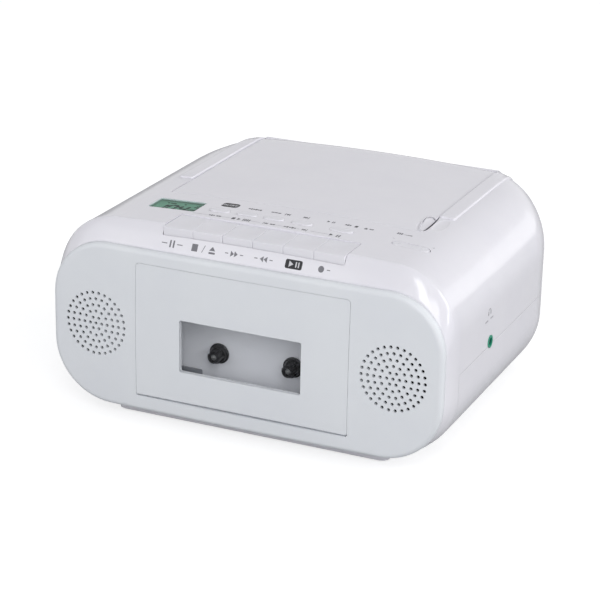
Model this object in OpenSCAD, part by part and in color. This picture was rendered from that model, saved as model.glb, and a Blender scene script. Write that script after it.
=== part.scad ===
// Compact disc and cassette player: one shared frame, +Z up, front toward -Y.
// Every module is drawn in the front frame (x across, y from the front apex to the rear,
// z from the height of the speaker centres) and moved once by F().

/* [Cabinet] */
// Half width of the cabinet behind the front band
body_hw = 111.6; // [109:0.1:114]
// Height of the crowned top above the speaker centres
top_h = 58.2; // [57.6:0.1:59]
// Wall thickness of the mouldings
wall = 2.5; // [2.2:0.1:2.8]
// Height of the parting line relative to the speaker centres
part_z = -0.5; // [-1.5:0.1:0]

/* [Front panel] */
// Half width of the raised front panel
panel_hw = 110; // [109:0.1:110.5]
// Half height of the raised front panel
panel_hh = 45; // [44.5:0.1:45.2]
// Distance of each speaker grille from the middle
grille_x = 84.1; // [82:0.1:86]
// Pitch between the rings of grille holes
grille_pitch = 3.4; // [3.2:0.05:3.5]
// Diameter of one grille hole
grille_hole_d = 1.5; // [1.2:0.05:1.8]

/* [Cassette side] */
// Half width of the cassette door
door_hw = 60.1; // [59.5:0.1:60.2]
// Distance between the two reel spindles
spindle_pitch = 42.5; // [42.4:0.05:42.6]
// Height of the spindles relative to the speaker centres
spindle_z = -12.6; // [-12.8:0.1:-12.4]
// Width pitch of the six piano keys
key_pitch = 16.9; // [16.7:0.05:17]
// Middle of the piano key row, to the right of the centre
key_mid = 2; // [1.8:0.1:2.2]
// Free space beside each key
key_gap = 0.5; // [0.4:0.05:0.6]

/* [Disc side] */
// Half width of the disc lid
lid_hw = 72; // [71.5:0.1:72]
// Radius of the disc well
well_r = 61.5; // [61:0.1:62]
// Radius of the headphone socket bore
jack_r = 1.8; // [1.75:0.05:1.85]

/* [Hidden] */
$fn = 48;
dep = 205;
dy = -105.94;
dz = 52;
white = [0.93, 0.93, 0.95];
cool = [0.88, 0.90, 0.93];
grey = [0.72, 0.73, 0.75];
steel = [0.78, 0.79, 0.80];
dark = [0.12, 0.12, 0.13];
board = [0.10, 0.35, 0.22];
px = 36.5;      // key shaft position behind the front
pz = 52.5;      // key shaft height
door_y = 3.4;   // door hinge position
door_z = -32.5; // door hinge height
lid_y = 187.5;  // lid hinge position
lid_z = 49.5;   // lid hinge height
disc_y = 127.5; // disc centre
fly_x = -31;    // capstan position
fly_z = 14;     // capstan height
mot_x = 33;     // tape motor position
mot_z = 16;     // tape motor height
ant_x = 62;     // rod antenna pivot
ant_z = 36;     // rod antenna height
ant_y = 209.2;  // rod antenna axis

// ---------- helpers ----------
module F() translate([0, dy, dz]) children();
module box(x0, x1, y0, y1, z0, z1) translate([x0, y0, z0]) cube([x1 - x0, y1 - y0, z1 - z0]);
module ycyl(x, z, r, y0, y1) translate([x, y0, z]) rotate([-90, 0, 0]) cylinder(r = r, h = y1 - y0);
module ycone(x, z, r0, r1, y0, y1) translate([x, y0, z]) rotate([-90, 0, 0]) cylinder(r1 = r0, r2 = r1, h = y1 - y0);
module zcyl(x, y, r, z0, z1) translate([x, y, z0]) cylinder(r = r, h = z1 - z0);
module xcyl(y, z, r, x0, x1) translate([x0, y, z]) rotate([0, 90, 0]) cylinder(r = r, h = x1 - x0);
// box with its four edges along Y rounded
module ybox(x0, x1, y0, y1, z0, z1, r) {
  box(x0 + r, x1 - r, y0, y1, z0, z1);
  box(x0, x1, y0, y1, z0 + r, z1 - r);
  for (x = [x0 + r, x1 - r]) for (z = [z0 + r, z1 - r]) ycyl(x, z, r, y0, y1);
}
// box with its four edges along Z rounded
module zbox(x0, x1, y0, y1, z0, z1, r) {
  box(x0 + r, x1 - r, y0, y1, z0, z1);
  box(x0, x1, y0 + r, y1 - r, z0, z1);
  for (x = [x0 + r, x1 - r]) for (y = [y0 + r, y1 - r]) zcyl(x, y, r, z0, z1);
}
// stadium shape standing on Z
module zpill(x0, x1, y0, y1, z0, z1) {
  r = (y1 - y0) / 2;
  box(x0 + r, x1 - r, y0, y1, z0, z1);
  for (x = [x0 + r, x1 - r]) zcyl(x, y0 + r, r, z0, z1);
}
function arc(cx, cz, r, a0, a1, n) = [for (i = [0:n]) [cx + r * cos(a0 + (a1 - a0) * i / n), cz + r * sin(a0 + (a1 - a0) * i / n)]];
// closed cabinet section with a crowned top
function sec(w, t, b, rt, rb, cr) = concat(
  arc(w - rt, t - cr - rt, rt, 0, 88, 8),
  [for (i = [1:5]) let (x = (w - rt) * (1 - i / 3)) [x, t - cr * pow(x / (w - rt), 2)]],
  arc(-(w - rt), t - cr - rt, rt, 92, 180, 8),
  arc(-(w - rb), -b + rb, rb, 180, 270, 8),
  arc(w - rb, -b + rb, rb, 270, 360, 8));
// solid through a list of sections; kx and kz bend each section by its own list of amounts
module loft(ys, secs, bend) {
  m = len(secs[0]);
  k = len(secs);
  pts = [for (j = [0:k - 1]) for (p = secs[j]) [p[0], ys[j] + bend[j] * (0.00017 * p[0] * p[0] + 0.0005 * p[1] * p[1]), p[1]]];
  polyhedron(points = pts, faces = concat(
    [[for (i = [0:m - 1]) m - 1 - i]],
    [[for (i = [0:m - 1]) (k - 1) * m + i]],
    [for (j = [0:k - 2]) for (i = [0:m - 1]) let (a = j * m + i, b = j * m + (i + 1) % m) [a, b, a + m]],
    [for (j = [0:k - 2]) for (i = [0:m - 1]) let (a = j * m + i, b = j * m + (i + 1) % m) [b, b + m, a + m]]), convexity = 8);
}
function ins(r, y) = y > dep - r ? r - sqrt(max(r * r - pow(y - dep + r, 2), 0)) : 0;
function bsec(y, o) = let (q = ins(60, y + o)) sec(body_hw - o - q, top_h - o - ins(27, y + o), 46 - o - ins(18, y + o), max(35 - o - q * 0.4, 6), max(32 - o - q * 0.4, 6), 2);
// cabinet body, inset by o
module body(o) {
  yr = [for (u = [0:5]) 145 + (dep - 145.8) * sin(u * 18) - u / 5 * o];
  loft(concat([o > 0 ? 3 : 4.1, 12.5, 22], yr),
    concat([sec(panel_hw - o, panel_hh - o, panel_hh - o, 31 - o, 33 - o, 0.2),
      sec(110.9 - o, top_h - o, 45.8 - o, 34 - o, 33 - o, 1.9), bsec(22, o)], [for (y = yr) bsec(y, o)]),
    concat([1, 0.5, 0], [for (y = yr) 0]));
}
// front panel, inset by o from its face and sides
function psec(o) = sec(panel_hw - o, panel_hh - o, panel_hh - o, 31 - o, 33 - o, 0.2);
function small(s, k) = [for (p = s) [p[0] * k, p[1] * k]];
module panel_face(o, y1) {
  s = psec(o);
  loft([o, o, o, o + 0.9, o + 2.4, y1], [small(s, 0.03), small(s, 0.5), psec(o + 2.6), psec(o + 1), psec(o), psec(o)], [1, 1, 1, 1, 1, 1]);
}

// space behind the panel plate, open to the rear
module panel_core(o) {
  s = psec(o);
  loft([o, o, o, 12], [small(s, 0.03), small(s, 0.5), s, s], [1, 1, 1, 1]);
}

// ---------- enclosure ----------
module upper_cabinet() color(white) F() difference() {
  union() {
    difference() { body(0); body(wall); }
    // raised strips beside the lid
    for (s = [-1, 1]) difference() {
      intersection() {
        box(s > 0 ? 70 : -81, s > 0 ? 81 : -70, 91, 203, 25, 60);
        translate([0, 0, 1]) body(0);
      }
      body(wall);
    }
    // screw posts
    for (x = [-92, 92]) for (y = [40, 160]) difference() {
      zcyl(x, y, 4, part_z + 0.5, 48.6);
      zcyl(x, y, 1.35, part_z - 1, 20);
    }
    // skirt round the lid opening
    intersection() {
      difference() {
        box(-74.4, 74.4, 61.9, 195, 50.1, 60);
        box(-71, 71, 65, 200, 45, 70);
      }
      body(1);
    }
    // flat pad for the antenna turret
    translate([ant_x, 196.8, ant_z]) rotate([-90, 0, 0]) rotate([0, 0, 140]) cylinder(r = 8, h = 8.1);
    // ribs that hold the key shaft
    for (i = [-2, 0, 2]) translate([key_mid + i * key_pitch, 0, 0]) difference() {
      box(-1.2, 1.2, 33.5, 39, 49.5, 56);
      xcyl(px, pz, 1.27, -2, 2);
    }
    // control board posts
    for (x = [-79, 79]) zcyl(x, 57.5, 2.2, 50.2, 54.5);
  }
  // everything behind the front band and below the parting line belongs to the lower moulding
  box(-130, 130, 22, 230, -80, part_z);
  // key opening
  box(key_mid - 3 * key_pitch - 0.3, key_mid + 3 * key_pitch + 0.3, 9.6, 31.3, 40, 70);
  // display opening
  translate([-58.25, 44.75, 57]) rotate([0, -2.3, 0]) box(-13.75, 13.75, -8.25, 8.25, -13, 13);
  // push button openings
  for (b = BTN) zpill(b[0] - b[1] / 2 - 0.3, b[0] + b[1] / 2 + 0.3, 40.7, 46.3, 50, 70);
  // volume opening
  zpill(65.4, 86.2, 38, 45, 50, 70);
  // disc lid opening
  box(-lid_hw - 0.4, lid_hw + 0.4, 63.6, 193.3, 45, 80);
  // finger scoop beside the lid
  translate([79.5, 76, 76.3]) scale([1, 1.25, 1]) sphere(r = 21);
  // headphone socket
  xcyl(67.9, 1.6, 3.45, 100, 120);
  // antenna turret
  ycyl(ant_x, ant_z, 5.08, 190, 215);
  // AC inlet opening
  box(29.7, 50.3, 190, 215, 18.7, 33.3);
  // battery opening
  ybox(-74, 74, 190, 215, -36.3, 14.3, 2);
}
BTN = [[-32.5, 11.4], [-16.8, 11.4], [-1.4, 11.4], [14.6, 11.4], [36.8, 12.6]];

module lower_cabinet() color(white) F() difference() {
  union() {
    difference() {
      body(0);
      body(wall);
    }
    // plinth
    difference() {
      union() {
        difference() {
          zbox(-78, 78, 23.2, 168, -50.4, -44, 4);
          box(-75, 75, 26, 165, -60, -40);
        }
        for (x = [-66, 66]) for (y = [34, 156]) zcyl(x, y, 9.5, -50.4, -44);
      }
      body(0.5);
    }
    difference() {
      box(-78, 78, 13, 26, -50.4, -46.2);
      for (s = [-1, 1]) translate([s * 78, 13, -55]) rotate([0, 0, 45]) cube([5, 5, 30], center = true);
    }
    // screw posts
    for (x = [-92, 92]) for (y = [40, 160]) difference() {
      zcyl(x, y, 5.2, -42.6, part_z);
      zcyl(x, y, 1.8, -60, part_z + 1);
    }
    // board posts
    for (x = [-66, 66]) for (y = [66, 136]) zcyl(x, y, 3, -45, -36);
    // transformer posts
    for (x = [-91, -76]) zcyl(x, 104, 2.6, x < -80 ? -42.4 : -44.5, -33.2);
  }
  box(-130, 130, -5, 22.2, -46.1, 90);
  box(-130, 130, -5, 230, part_z - 0.001, 90);
  // counterbores for the long screws
  for (x = [-92, 92]) for (y = [40, 160]) {
    zcyl(x, y, 3.6, -60, -34);
    zcyl(x, y, 1.8, -60, 20);
  }
  // battery opening in the rear
  ybox(-74, 74, 190, 215, -36.3, 14.3, 2);
  // headphone socket
  xcyl(67.9, 1.6, 3.45, 100, 120);
  // feet
  for (x = [-66, 66]) for (y = [34, 156]) zcyl(x, y, 6.1, -60, -49.6);
}

module front_panel() color(cool) F() difference() {
  union() {
    difference() {
      panel_face(0, 3.8);
      panel_core(wall);
    }
    // rim that plugs into the cabinet
    difference() {
      loft([2.2, 9], [psec(2.85), psec(2.85)], [1, 0.4]);
      loft([1.5, 12], [psec(4.8), psec(4.8)], [1, 0.4]);
      box(-66, 66, -5, 20, -60, 0);
    }
    for (s = [-1, 1]) {
      // hinge bosses for the door
      difference() {
        box(s > 0 ? 60.9 : -64.9, s > 0 ? 64.9 : -60.9, 1.6, 7.2, -36.5, -28.7);
        xcyl(door_y, door_z, 1.26, -70, 70);
      }
      // deck plate posts
      for (z = [-24, 34]) difference() {
        ycyl(s * 63.5, z, 2.4, 2.8, 21.3);
        ycyl(s * 63.5, z, 1.15, 12, 22);
      }
      // speaker posts
      for (a = [45:90:315]) difference() {
        ycyl(s * grille_x + 25.3 * cos(a), 25.3 * sin(a) * 0.98, 1.9, 2.5, 5.9);
        ycyl(s * grille_x + 25.3 * cos(a), 25.3 * sin(a) * 0.98, 0.85, 3.2, 7);
      }
    }
  }
  // door opening
  ybox(-door_hw - 0.35, door_hw + 0.35, -5, 20, -36.45, 38.05, 2.3);
  box(-door_hw - 0.35, door_hw + 0.35, 2.2, 20, -36.45, -30);
  // hinge pin holes stay clear
  xcyl(door_y, door_z, 1.26, -66, 66);
  // grille holes
  for (s = [-1, 1]) {
    ycyl(s * grille_x, 0, grille_hole_d / 2, -2, 8, $fn = 8);
    for (n = [1:5]) for (i = [0:6 * n - 1])
      ycyl(s * grille_x + n * grille_pitch * cos(60 * i / n), n * grille_pitch * sin(60 * i / n), grille_hole_d / 2, -2, 8, $fn = 8);
  }
}

module rubber_feet() color(dark) F() for (x = [-66, 66]) for (y = [34, 156]) union() {
  zcyl(x, y, 5.9, -51.4, -49.6);
  translate([x, y, -52]) cylinder(r1 = 5.1, r2 = 5.9, h = 0.61);
}

module cabinet_screws() color(steel) F() for (x = [-92, 92]) for (y = [40, 160]) difference() {
  union() {
    zcyl(x, y, 1.3, -34, 15);
    zcyl(x, y, 3, -36.2, -33.99);
  }
  for (a = [0, 90]) translate([x, y, -36.2]) rotate([0, 0, a]) cube([3.6, 0.9, 2.4], center = true);
}

// ---------- power ----------
bat_y = 199.6;
bat_z = -30.5;
module battery_tray() color(white) F() difference() {
  union() {
    intersection() {
      difference() {
        ybox(-78.6, 78.6, 166.4, 196.4, -39.8, 15.6, 1.6);
        box(-77, 77, 168, 200, -38.6, 14.4);
      }
      body(wall + 0.15);
    }
    // hinge lugs
    for (s = [-1, 1]) intersection() {
      union() {
        box(s > 0 ? 45 : -49.7, s > 0 ? 49.7 : -45, 191.5, 201, -39.8, -36.4);
        box(s > 0 ? 45 : -49.7, s > 0 ? 49.7 : -45, 196.3, 200.5, -36.5, -30.5);
        xcyl(bat_y, bat_z, 2.2, s > 0 ? 45 : -49.7, s > 0 ? 49.7 : -45);
      }
      body(wall + 0.15);
    }
  }
  for (s = [-1, 1]) xcyl(bat_y, bat_z, 1.05, s > 0 ? 44 : -50, s > 0 ? 50 : -44);
  // wire holes
  for (x = [-60, 60]) ycyl(x, 4, 1.5, 160, 170);
}
module contact_plate(z) translate([75.2, 182, z]) rotate([0, 90, 0]) cylinder(r = 5, h = 1.2);
module battery_contacts() color(steel) F() for (z = [-25.4, 1.2]) {
  // coil side
  box(-76.9, -76.4, 172, 190, z - 9, z + 9);
  for (k = [0:3]) translate([-76.4 + k * 2, 182, z]) rotate([0, 90, 0]) difference() {
    cylinder(r = 6 - k * 0.6, h = 1.2);
    translate([0, 0, -1]) cylinder(r = 4.6 - k * 0.6, h = 4);
  }
  // the wire that joins the turns
  box(-76.4, -69.2, 181.4, 182.6, z + 3.4, z + 4.6);
  // plate side
  box(76.2, 76.9, 172, 190, z - 9, z + 9);
  contact_plate(z);
}
module battery_cover() color(white) F() difference() {
  union() {
    difference() {
      intersection() {
        difference() {
          body(0);
          translate([0, -0.2, 0]) body(wall);
        }
        ybox(-73.7, 73.7, 193.5, 215, -36.1, 14, 1.8);
        // the lower edge is turned about the hinge
        union() {
          box(-80, 80, 190, 215, bat_z, 20);
          xcyl(bat_y, bat_z, 5.4, -80, 80);
        }
      }
      // notches for the hinge lugs
      for (s = [-1, 1]) box(s > 0 ? 44.4 : -50, s > 0 ? 50 : -44.4, 190, 210, -40, -27.4);
    }
    // hinge arms and pins
    for (s = [-1, 1]) {
      box(s > 0 ? 50 : -54, s > 0 ? 54 : -50, 198.4, 203, -32, -27);
      xcyl(bat_y, bat_z, 2, s > 0 ? 50 : -54, s > 0 ? 54 : -50);
      xcyl(bat_y, bat_z, 1, s > 0 ? 45.4 : -50.1, s > 0 ? 50.1 : -45.4);
    }
  }
  // thumb recess
  translate([0, 208.6, 8.6]) scale([1.9, 1, 1]) sphere(r = 5.6);
}
module small_screws() color(steel) F() for (s = [-1, 1]) {
  for (z = [-24, 34]) union() {
    ycyl(s * 63.5, z, 1.1, 13, 22.7);
    ycyl(s * 63.5, z, 2.2, 22.65, 24);
  }
  for (a = [45:90:315]) union() {
    ycyl(s * grille_x + 25.3 * cos(a), 25.3 * sin(a) * 0.98, 0.8, 4.6, 7.9);
    ycyl(s * grille_x + 25.3 * cos(a), 25.3 * sin(a) * 0.98, 1.9, 7.85, 9);
  }
}
module ac_inlet() color(dark) F() difference() {
  union() {
    box(30, 50, 188, 204.6, 19, 33);
    box(27.5, 52.5, 188, 190.4, 17, 35);
  }
  for (x = [37.2, 42.8]) ycyl(x, 26, 3.6, 194, 210);
  box(37.2, 42.8, 194, 210, 22.4, 29.6);
}
module transformer() color(steel) F() {
  difference() {
    box(-100, -68.4, 84, 126, -33.1, 0);
    box(-93.6, -74.8, 80, 130, -26, -7);
  }
  box(-93.4, -75, 80, 130, -25.8, -7.2);
}

// ---------- antenna ----------
module antenna_base() color(dark) F() difference() {
  union() {
    ycyl(ant_x, ant_z, 5, 194.4, 205.3);
    ycyl(ant_x, ant_z, 5.5, 194.4, 196.2);
    ycyl(ant_x, ant_z, 6.6, 205.2, 206);
    // fork
    for (z = [-3.9, 2.3]) translate([ant_x, 0, ant_z]) box(-3.2, 3.2, 205.9, 211.8, z, z + 1.6);
  }
  zcyl(ant_x, ant_y, 0.86, ant_z - 8, ant_z + 8);
}
module antenna_rod_outer() color(steel) F() {
  difference() {
    union() {
      xcyl(ant_y, ant_z, 2.8, ant_x - 112, ant_x - 4.5);
      xcyl(ant_y, ant_z, 1.6, ant_x - 4.6, ant_x - 1);
      zcyl(ant_x, ant_y, 2.4, ant_z - 2, ant_z + 2);
      // hinge pin
      zcyl(ant_x, ant_y, 0.8, ant_z - 3.9, ant_z + 3.9);
    }
    xcyl(ant_y, ant_z, 2.1, ant_x - 113, ant_x - 8);
  }
}
module antenna_rod_middle() color(steel) F() difference() {
  xcyl(ant_y, ant_z, 2.05, ant_x - 113.5, ant_x - 9);
  xcyl(ant_y, ant_z, 1.35, ant_x - 114, ant_x - 11);
}
module antenna_rod_tip() color(steel) F() {
  xcyl(ant_y, ant_z, 1.3, ant_x - 115, ant_x - 13);
  xcyl(ant_y, ant_z, 2.8, ant_x - 119, ant_x - 114.5);
}

// ---------- disc side ----------
module cd_lid() color(white) F() difference() {
  union() {
    difference() {
      union() {
        intersection() {
          difference() { body(0); body(2.2); }
          box(-lid_hw, lid_hw, 64, 192.8, 45, 80);
        }
        // stiffening rim below the plate
        intersection() {
          difference() {
            box(-lid_hw + 1.2, lid_hw - 1.2, 65.2, 184, 51.2, 60);
            box(-lid_hw + 2.8, lid_hw - 2.8, 66.8, 182.4, 50, 62);
          }
          body(1.5);
        }
      }
      // room for the hinge bosses
      for (s = [-1, 1]) xcyl(lid_y, lid_z, 3, s > 0 ? 63 : -70.5, s > 0 ? 70.5 : -63);
    }
    // hinge ears with their stub pins
    for (s = [-1, 1]) {
      intersection() {
        union() {
          box(s > 0 ? 60 : -63, s > 0 ? 63 : -60, 182.4, lid_y, lid_z + 0.6, 58);
          xcyl(lid_y, lid_z, 3, s > 0 ? 60 : -63, s > 0 ? 63 : -60);
        }
        body(1);
      }
      xcyl(lid_y, lid_z, 1.5, s > 0 ? 62.9 : -66, s > 0 ? 66 : -62.9);
    }
  }
  // rounded nose about the hinge
  difference() {
    box(-80, 80, lid_y, 200, 40, 70);
    xcyl(lid_y, lid_z, 5.6, -81, 81);
  }
  // finger scoop at the front right corner
  translate([68.3, 75.5, 66.4]) scale([0.34, 1, 1]) sphere(r = 11.8);
}

module cd_deck() color(grey) F() difference() {
  union() {
    box(-74.4, 74.4, 62.2, 181.5, 48.4, 49.9);
    zcyl(0, disc_y, well_r + 1.6, 37, 49.9);
    // trough for the rear edge of the lid
    box(-74.4, 74.4, 180, 181.5, 41.6, 49.9);
    box(-72.4, 72.4, 180, 193.4, 41.6, 43);
    // lid hinge bosses
    for (s = [-1, 1]) {
      box(s > 0 ? 63.3 : -70, s > 0 ? 70 : -63.3, 181.4, lid_y - 1.7, 42.9, 46.7);
      box(s > 0 ? 63.3 : -70, s > 0 ? 70 : -63.3, 181.4, lid_y - 0.3, 46.6, lid_z);
      xcyl(lid_y, lid_z, 2.6, s > 0 ? 63.3 : -70, s > 0 ? 70 : -63.3);
    }
    // frame below the well
    difference() {
      box(-40, 66, disc_y - 33, disc_y + 33, 24, 37.1);
      box(-37.6, 63.6, disc_y - 30.6, disc_y + 30.6, 20, 36);
    }
  }
  zcyl(0, disc_y, well_r, 38.6, 60);
  for (s = [-1, 1]) xcyl(lid_y, lid_z, 1.55, s > 0 ? 63 : -71, s > 0 ? 71 : -63);
  // opening for the turntable and the pickup
  zcyl(0, disc_y, 17, 30, 60);
  box(0, 62.4, disc_y - 9, disc_y + 9, 30, 60);
  // room for the rear edge of the lid as it turns
  box(-40, 40, 188.2, 193.9, 43.2, 60);
  // finger dips at the edge of the well
  for (s = [-1, 1]) zcyl(s * 61, disc_y, 9, 42, 60);
}
module turntable() color(dark) F() union() {
  zcyl(0, disc_y, 14, 42.6, 44.2);
  zcyl(0, disc_y, 7.4, 44.19, 46.4);
  translate([0, disc_y, 46.39]) cylinder(r1 = 7.4, r2 = 5.2, h = 2.2);
  zcyl(0, disc_y, 1, 26, 42.7);
  for (a = [0, 120, 240]) translate([7.1 * cos(a), disc_y + 7.1 * sin(a), 45.6]) sphere(r = 0.9);
}
module disc_motor() color(steel) F() difference() {
  union() {
    zcyl(0, disc_y, 11.5, 28, 39.4);
    box(-15, 15, disc_y - 16, disc_y + 16, 26.6, 28.1);
    for (a = [35, 145, 215, 325]) zcyl(15 * cos(a) * 0.85, disc_y + 15 * sin(a) * 0.85 * 1.5, 1.6, 28, 35.9);
  }
  zcyl(0, disc_y, 1.05, 20, 50);
}
module optical_pickup() color(dark) F() difference() {
  union() {
    box(23, 41, disc_y - 7.5, disc_y + 7.5, 30.5, 37.6);
    box(26, 38, disc_y - 24, disc_y + 24, 27.5, 33.5);
    zcyl(32, disc_y, 4.6, 37.5, 40.2);
    zcyl(32, disc_y, 3, 40.1, 40.9);
    // nut arm
    box(29, 35, disc_y - 28.6, disc_y - 23.9, 28.2, 33.4);
  }
  for (s = [-1, 1]) xcyl(disc_y + s * 20, 30.5, 1.53, 20, 45);
  xcyl(disc_y - 27, 30.8, 1.4, 20, 45);
}
module pickup_rails() color(steel) F() for (s = [-1, 1]) xcyl(disc_y + s * 20, 30.5, 1.5, -37.6, 63.6);
module sled_screw() color(steel) F() union() {
  xcyl(disc_y - 27, 30.8, 1.1, 8, 62);
  for (k = [0:15]) xcyl(disc_y - 27, 30.8, 1.35, 14 + k * 3, 15.2 + k * 3);
  xcyl(disc_y - 27, 30.8, 3.2, 8, 12);
}

// ---------- display and controls ----------
module lcd_window() color([0.55, 0.72, 0.66, 0.5]) F() translate([-58.25, 44.75, 57]) rotate([0, -2.3, 0]) {
  box(-13.6, 13.6, -8.1, 8.1, -1.4, -0.25);
}
module lcd_module() color(board) F() translate([-58.25, 44.75, 57]) rotate([0, -2.3, 0]) difference() {
  union() {
    box(-15.2, 15.2, -5.4, 9.4, -5.2, -3.1);
    box(-13.2, 13.2, -7.7, 7.7, -3.2, -1.5);
  }
  for (x = [-13.9, 13.9]) zcyl(x, 8.4, 0.5, -10, 5);
}
module key_body(i, drop) {
  x0 = key_mid + (i - 3) * key_pitch + key_gap / 2;
  x1 = x0 + key_pitch - key_gap;
  c = (x0 + x1) / 2;
  difference() {
    union() {
      // top with its front skirt
      box(x0, x1, 10.15, 30.9, 54.2, 57 - drop);
      box(x0, x1, 10.15, 12.2, 46.5, 54.3);
      box(x0, x0 + 1.6, 12, 30.9, 49, 54.3);
      box(x1 - 1.6, x1, 12, 30.9, 49, 54.3);
      // lever arm and hub on the shaft
      box(c - 2.5, c + 2.5, 12, px, 50.6, 54.3);
      xcyl(px, pz, 2.2, c - 3, c + 3);
      // pusher reaching down to the mechanism
      box(c - 2, c + 2, 13.2, 15.6, 45.75, 51);
    }
    xcyl(px, pz, 1.29, x0 - 1, x1 + 1);
    // shallow finger dish
    translate([c, 24.6, 57 - drop + 27.4]) scale([1, 0.75, 1]) sphere(r = 28);
    // rounded top edge at the front
    difference() {
      box(x0 - 1, x1 + 1, 9, 11.15, 56 - drop, 58);
      xcyl(11.15, 56 - drop, 1, x0 - 1, x1 + 1);
    }
  }
}
module key_pause() color(white) F() key_body(0, 0);
module key_stop_eject() color(white) F() key_body(1, 0);
module key_forward() color(white) F() key_body(2, 0);
module key_rewind() color(white) F() key_body(3, 0);
module key_play() color(white) F() key_body(4, 0);
module key_record() color(white) F() key_body(5, 0);
module key_shaft() color(steel) F() xcyl(px, pz, 1.25, key_mid - 45.4, key_mid + 45.4);
module key_springs() color(steel) F() for (i = [0:5]) translate([key_mid + (i - 2.5) * key_pitch, 27, 44.3]) {
  for (k = [0:4]) translate([0, 0, k * 1.3]) difference() {
    cylinder(r = 2, h = 0.7);
    translate([0, 0, -1]) cylinder(r = 1.3, h = 3);
  }
  translate([1.4, -0.3, 0]) cube([0.6, 0.6, 6.1]);
}
module cap_button(b, h) {
  zpill(b[0] - b[1] / 2, b[0] + b[1] / 2, 41, 46, 54.7, h);
  zpill(b[0] - b[1] / 2 - 1, b[0] + b[1] / 2 + 1, 40.2, 46.8, 54, 54.8);
  zcyl(b[0], 43.5, 1.3, 52, 54.1);
}
module button_power() color(white) F() cap_button(BTN[0], 58.5);
module button_source() color(white) F() cap_button(BTN[1], 58.7);
module button_back() color(white) F() cap_button(BTN[2], 58.8);
module button_next() color(white) F() cap_button(BTN[3], 58.7);
module button_disc_play() color(white) F() cap_button(BTN[4], 58.4);
roc_z = 52.2;
module volume_rocker() color(white) F() difference() {
  union() {
    intersection() {
      zpill(65.8, 85.8, 38.4, 44.6, 50.2, 60);
      translate([75.8, 30, roc_z]) rotate([0, 5, 0]) box(-14, 14, 0, 20, -0.2, 4.55);
    }
    ycyl(75.8, roc_z, 1.8, 38.4, 44.6);
  }
  ycyl(75.8, roc_z, 1.05, 30, 50);
}
module control_board() color(board) F() difference() {
  union() {
    box(-82, 82, 41, 60.5, 48.6, 50.2);
    // tact switches
    for (b = BTN) {
      box(b[0] - 3, b[0] + 3, 41.2, 46.4, 50.1, 51.1);
    }
    for (x = [70, 80.8]) zcyl(x, 42.6, 1, 50.1, 50.6);
    // rocker pivot posts
    for (y = [35.8, 45.6]) box(73.2, 78.4, y, y + 1.6, 50, 53.5);
    box(73.2, 78.4, 35.8, 41.1, 48.6, 50.2);
    ycyl(75.8, roc_z, 1, 35.8, 47.2);
    // controller chip and connector
    box(8, 24, 49, 59, 50.1, 51.4);
    box(-40, -28, 50, 55, 44.5, 48.7);
  }
  for (x = [-79, 79]) zcyl(x, 57.5, 1, 40, 52);
}
module main_board() color(board) F() difference() {
  union() {
    box(-70, 70, 62, 140, -36, -34.4);
    // chips, heat sink, capacitors
    box(-20, -4, 70, 88, -34.5, -32);
    box(14, 26, 96, 108, -34.5, -32.4);
    box(34, 37, 70, 100, -34.5, -14);
    for (p = [[-46, 74, 5, 14], [-46, 90, 5, 14], [-28, 104, 4, 10], [0, 112, 3.2, 9], [50, 118, 6, 16]])
      zcyl(p[0], p[1], p[2], -34.5, -34.5 + p[3]);
    box(-10, 10, 128, 134, -34.5, -27);
    box(46, 60, 66, 71, -34.5, -27);
  }
  for (x = [-66, 66]) for (y = [66, 136]) zcyl(x, y, 1.2, -40, -30);
}

// ---------- sound ----------
module speaker_frames() color(dark) F() for (s = [-1, 1]) difference() {
  union() {
    ycyl(s * grille_x, 0, 20.6, 6.2, 7.8);
    ycone(s * grille_x, 0, 20, 14, 7.7, 16.5);
    ycyl(s * grille_x, 0, 15.5, 16.4, 26);
    for (a = [45:90:315]) ycyl(s * grille_x + 23.6 * cos(a), 23.6 * sin(a), 3.2, 6.2, 7.8);
  }
  ycone(s * grille_x, 0, 19.2, 12.6, 5, 15.2);
  ycyl(s * grille_x, 0, 19.2, 5, 7.2);
  ycyl(s * grille_x, 0, 8.2, 10, 22);
  for (a = [45:90:315]) ycyl(s * grille_x + 25.3 * cos(a), 25.3 * sin(a) * 0.98, 0.9, 5, 9);
}
module speaker_cones() color(dark) F() for (s = [-1, 1]) union() {
  difference() {
    ycone(s * grille_x, 0, 18, 6.4, 6.6, 13.4);
    ycone(s * grille_x, 0, 17.4, 5.8, 6.5, 13);
  }
  // dust dome
  intersection() {
    translate([s * grille_x, 19.2, 0]) sphere(r = 9);
    ycyl(s * grille_x, 0, 6.6, 9, 13.3);
  }
  // voice coil former
  difference() {
    ycyl(s * grille_x, 0, 7.4, 13.2, 20);
    ycyl(s * grille_x, 0, 6.9, 13, 21);
  }
}
module headphone_jack() color(dark) F() difference() {
  union() {
    box(93, 108, 63.4, 72.4, -3, 6.4);
    xcyl(67.9, 1.6, 3, 107.9, 111.2);
  }
  xcyl(67.9, 1.6, jack_r, 96, 113);
}
module jack_ring() color([0.10, 0.55, 0.38]) F() difference() {
  xcyl(67.9, 1.6, 3.4, 110.2, 112);
  xcyl(67.9, 1.6, 3.0, 109, 111.21);
  xcyl(67.9, 1.6, 2.2, 109, 113);
}

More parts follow.
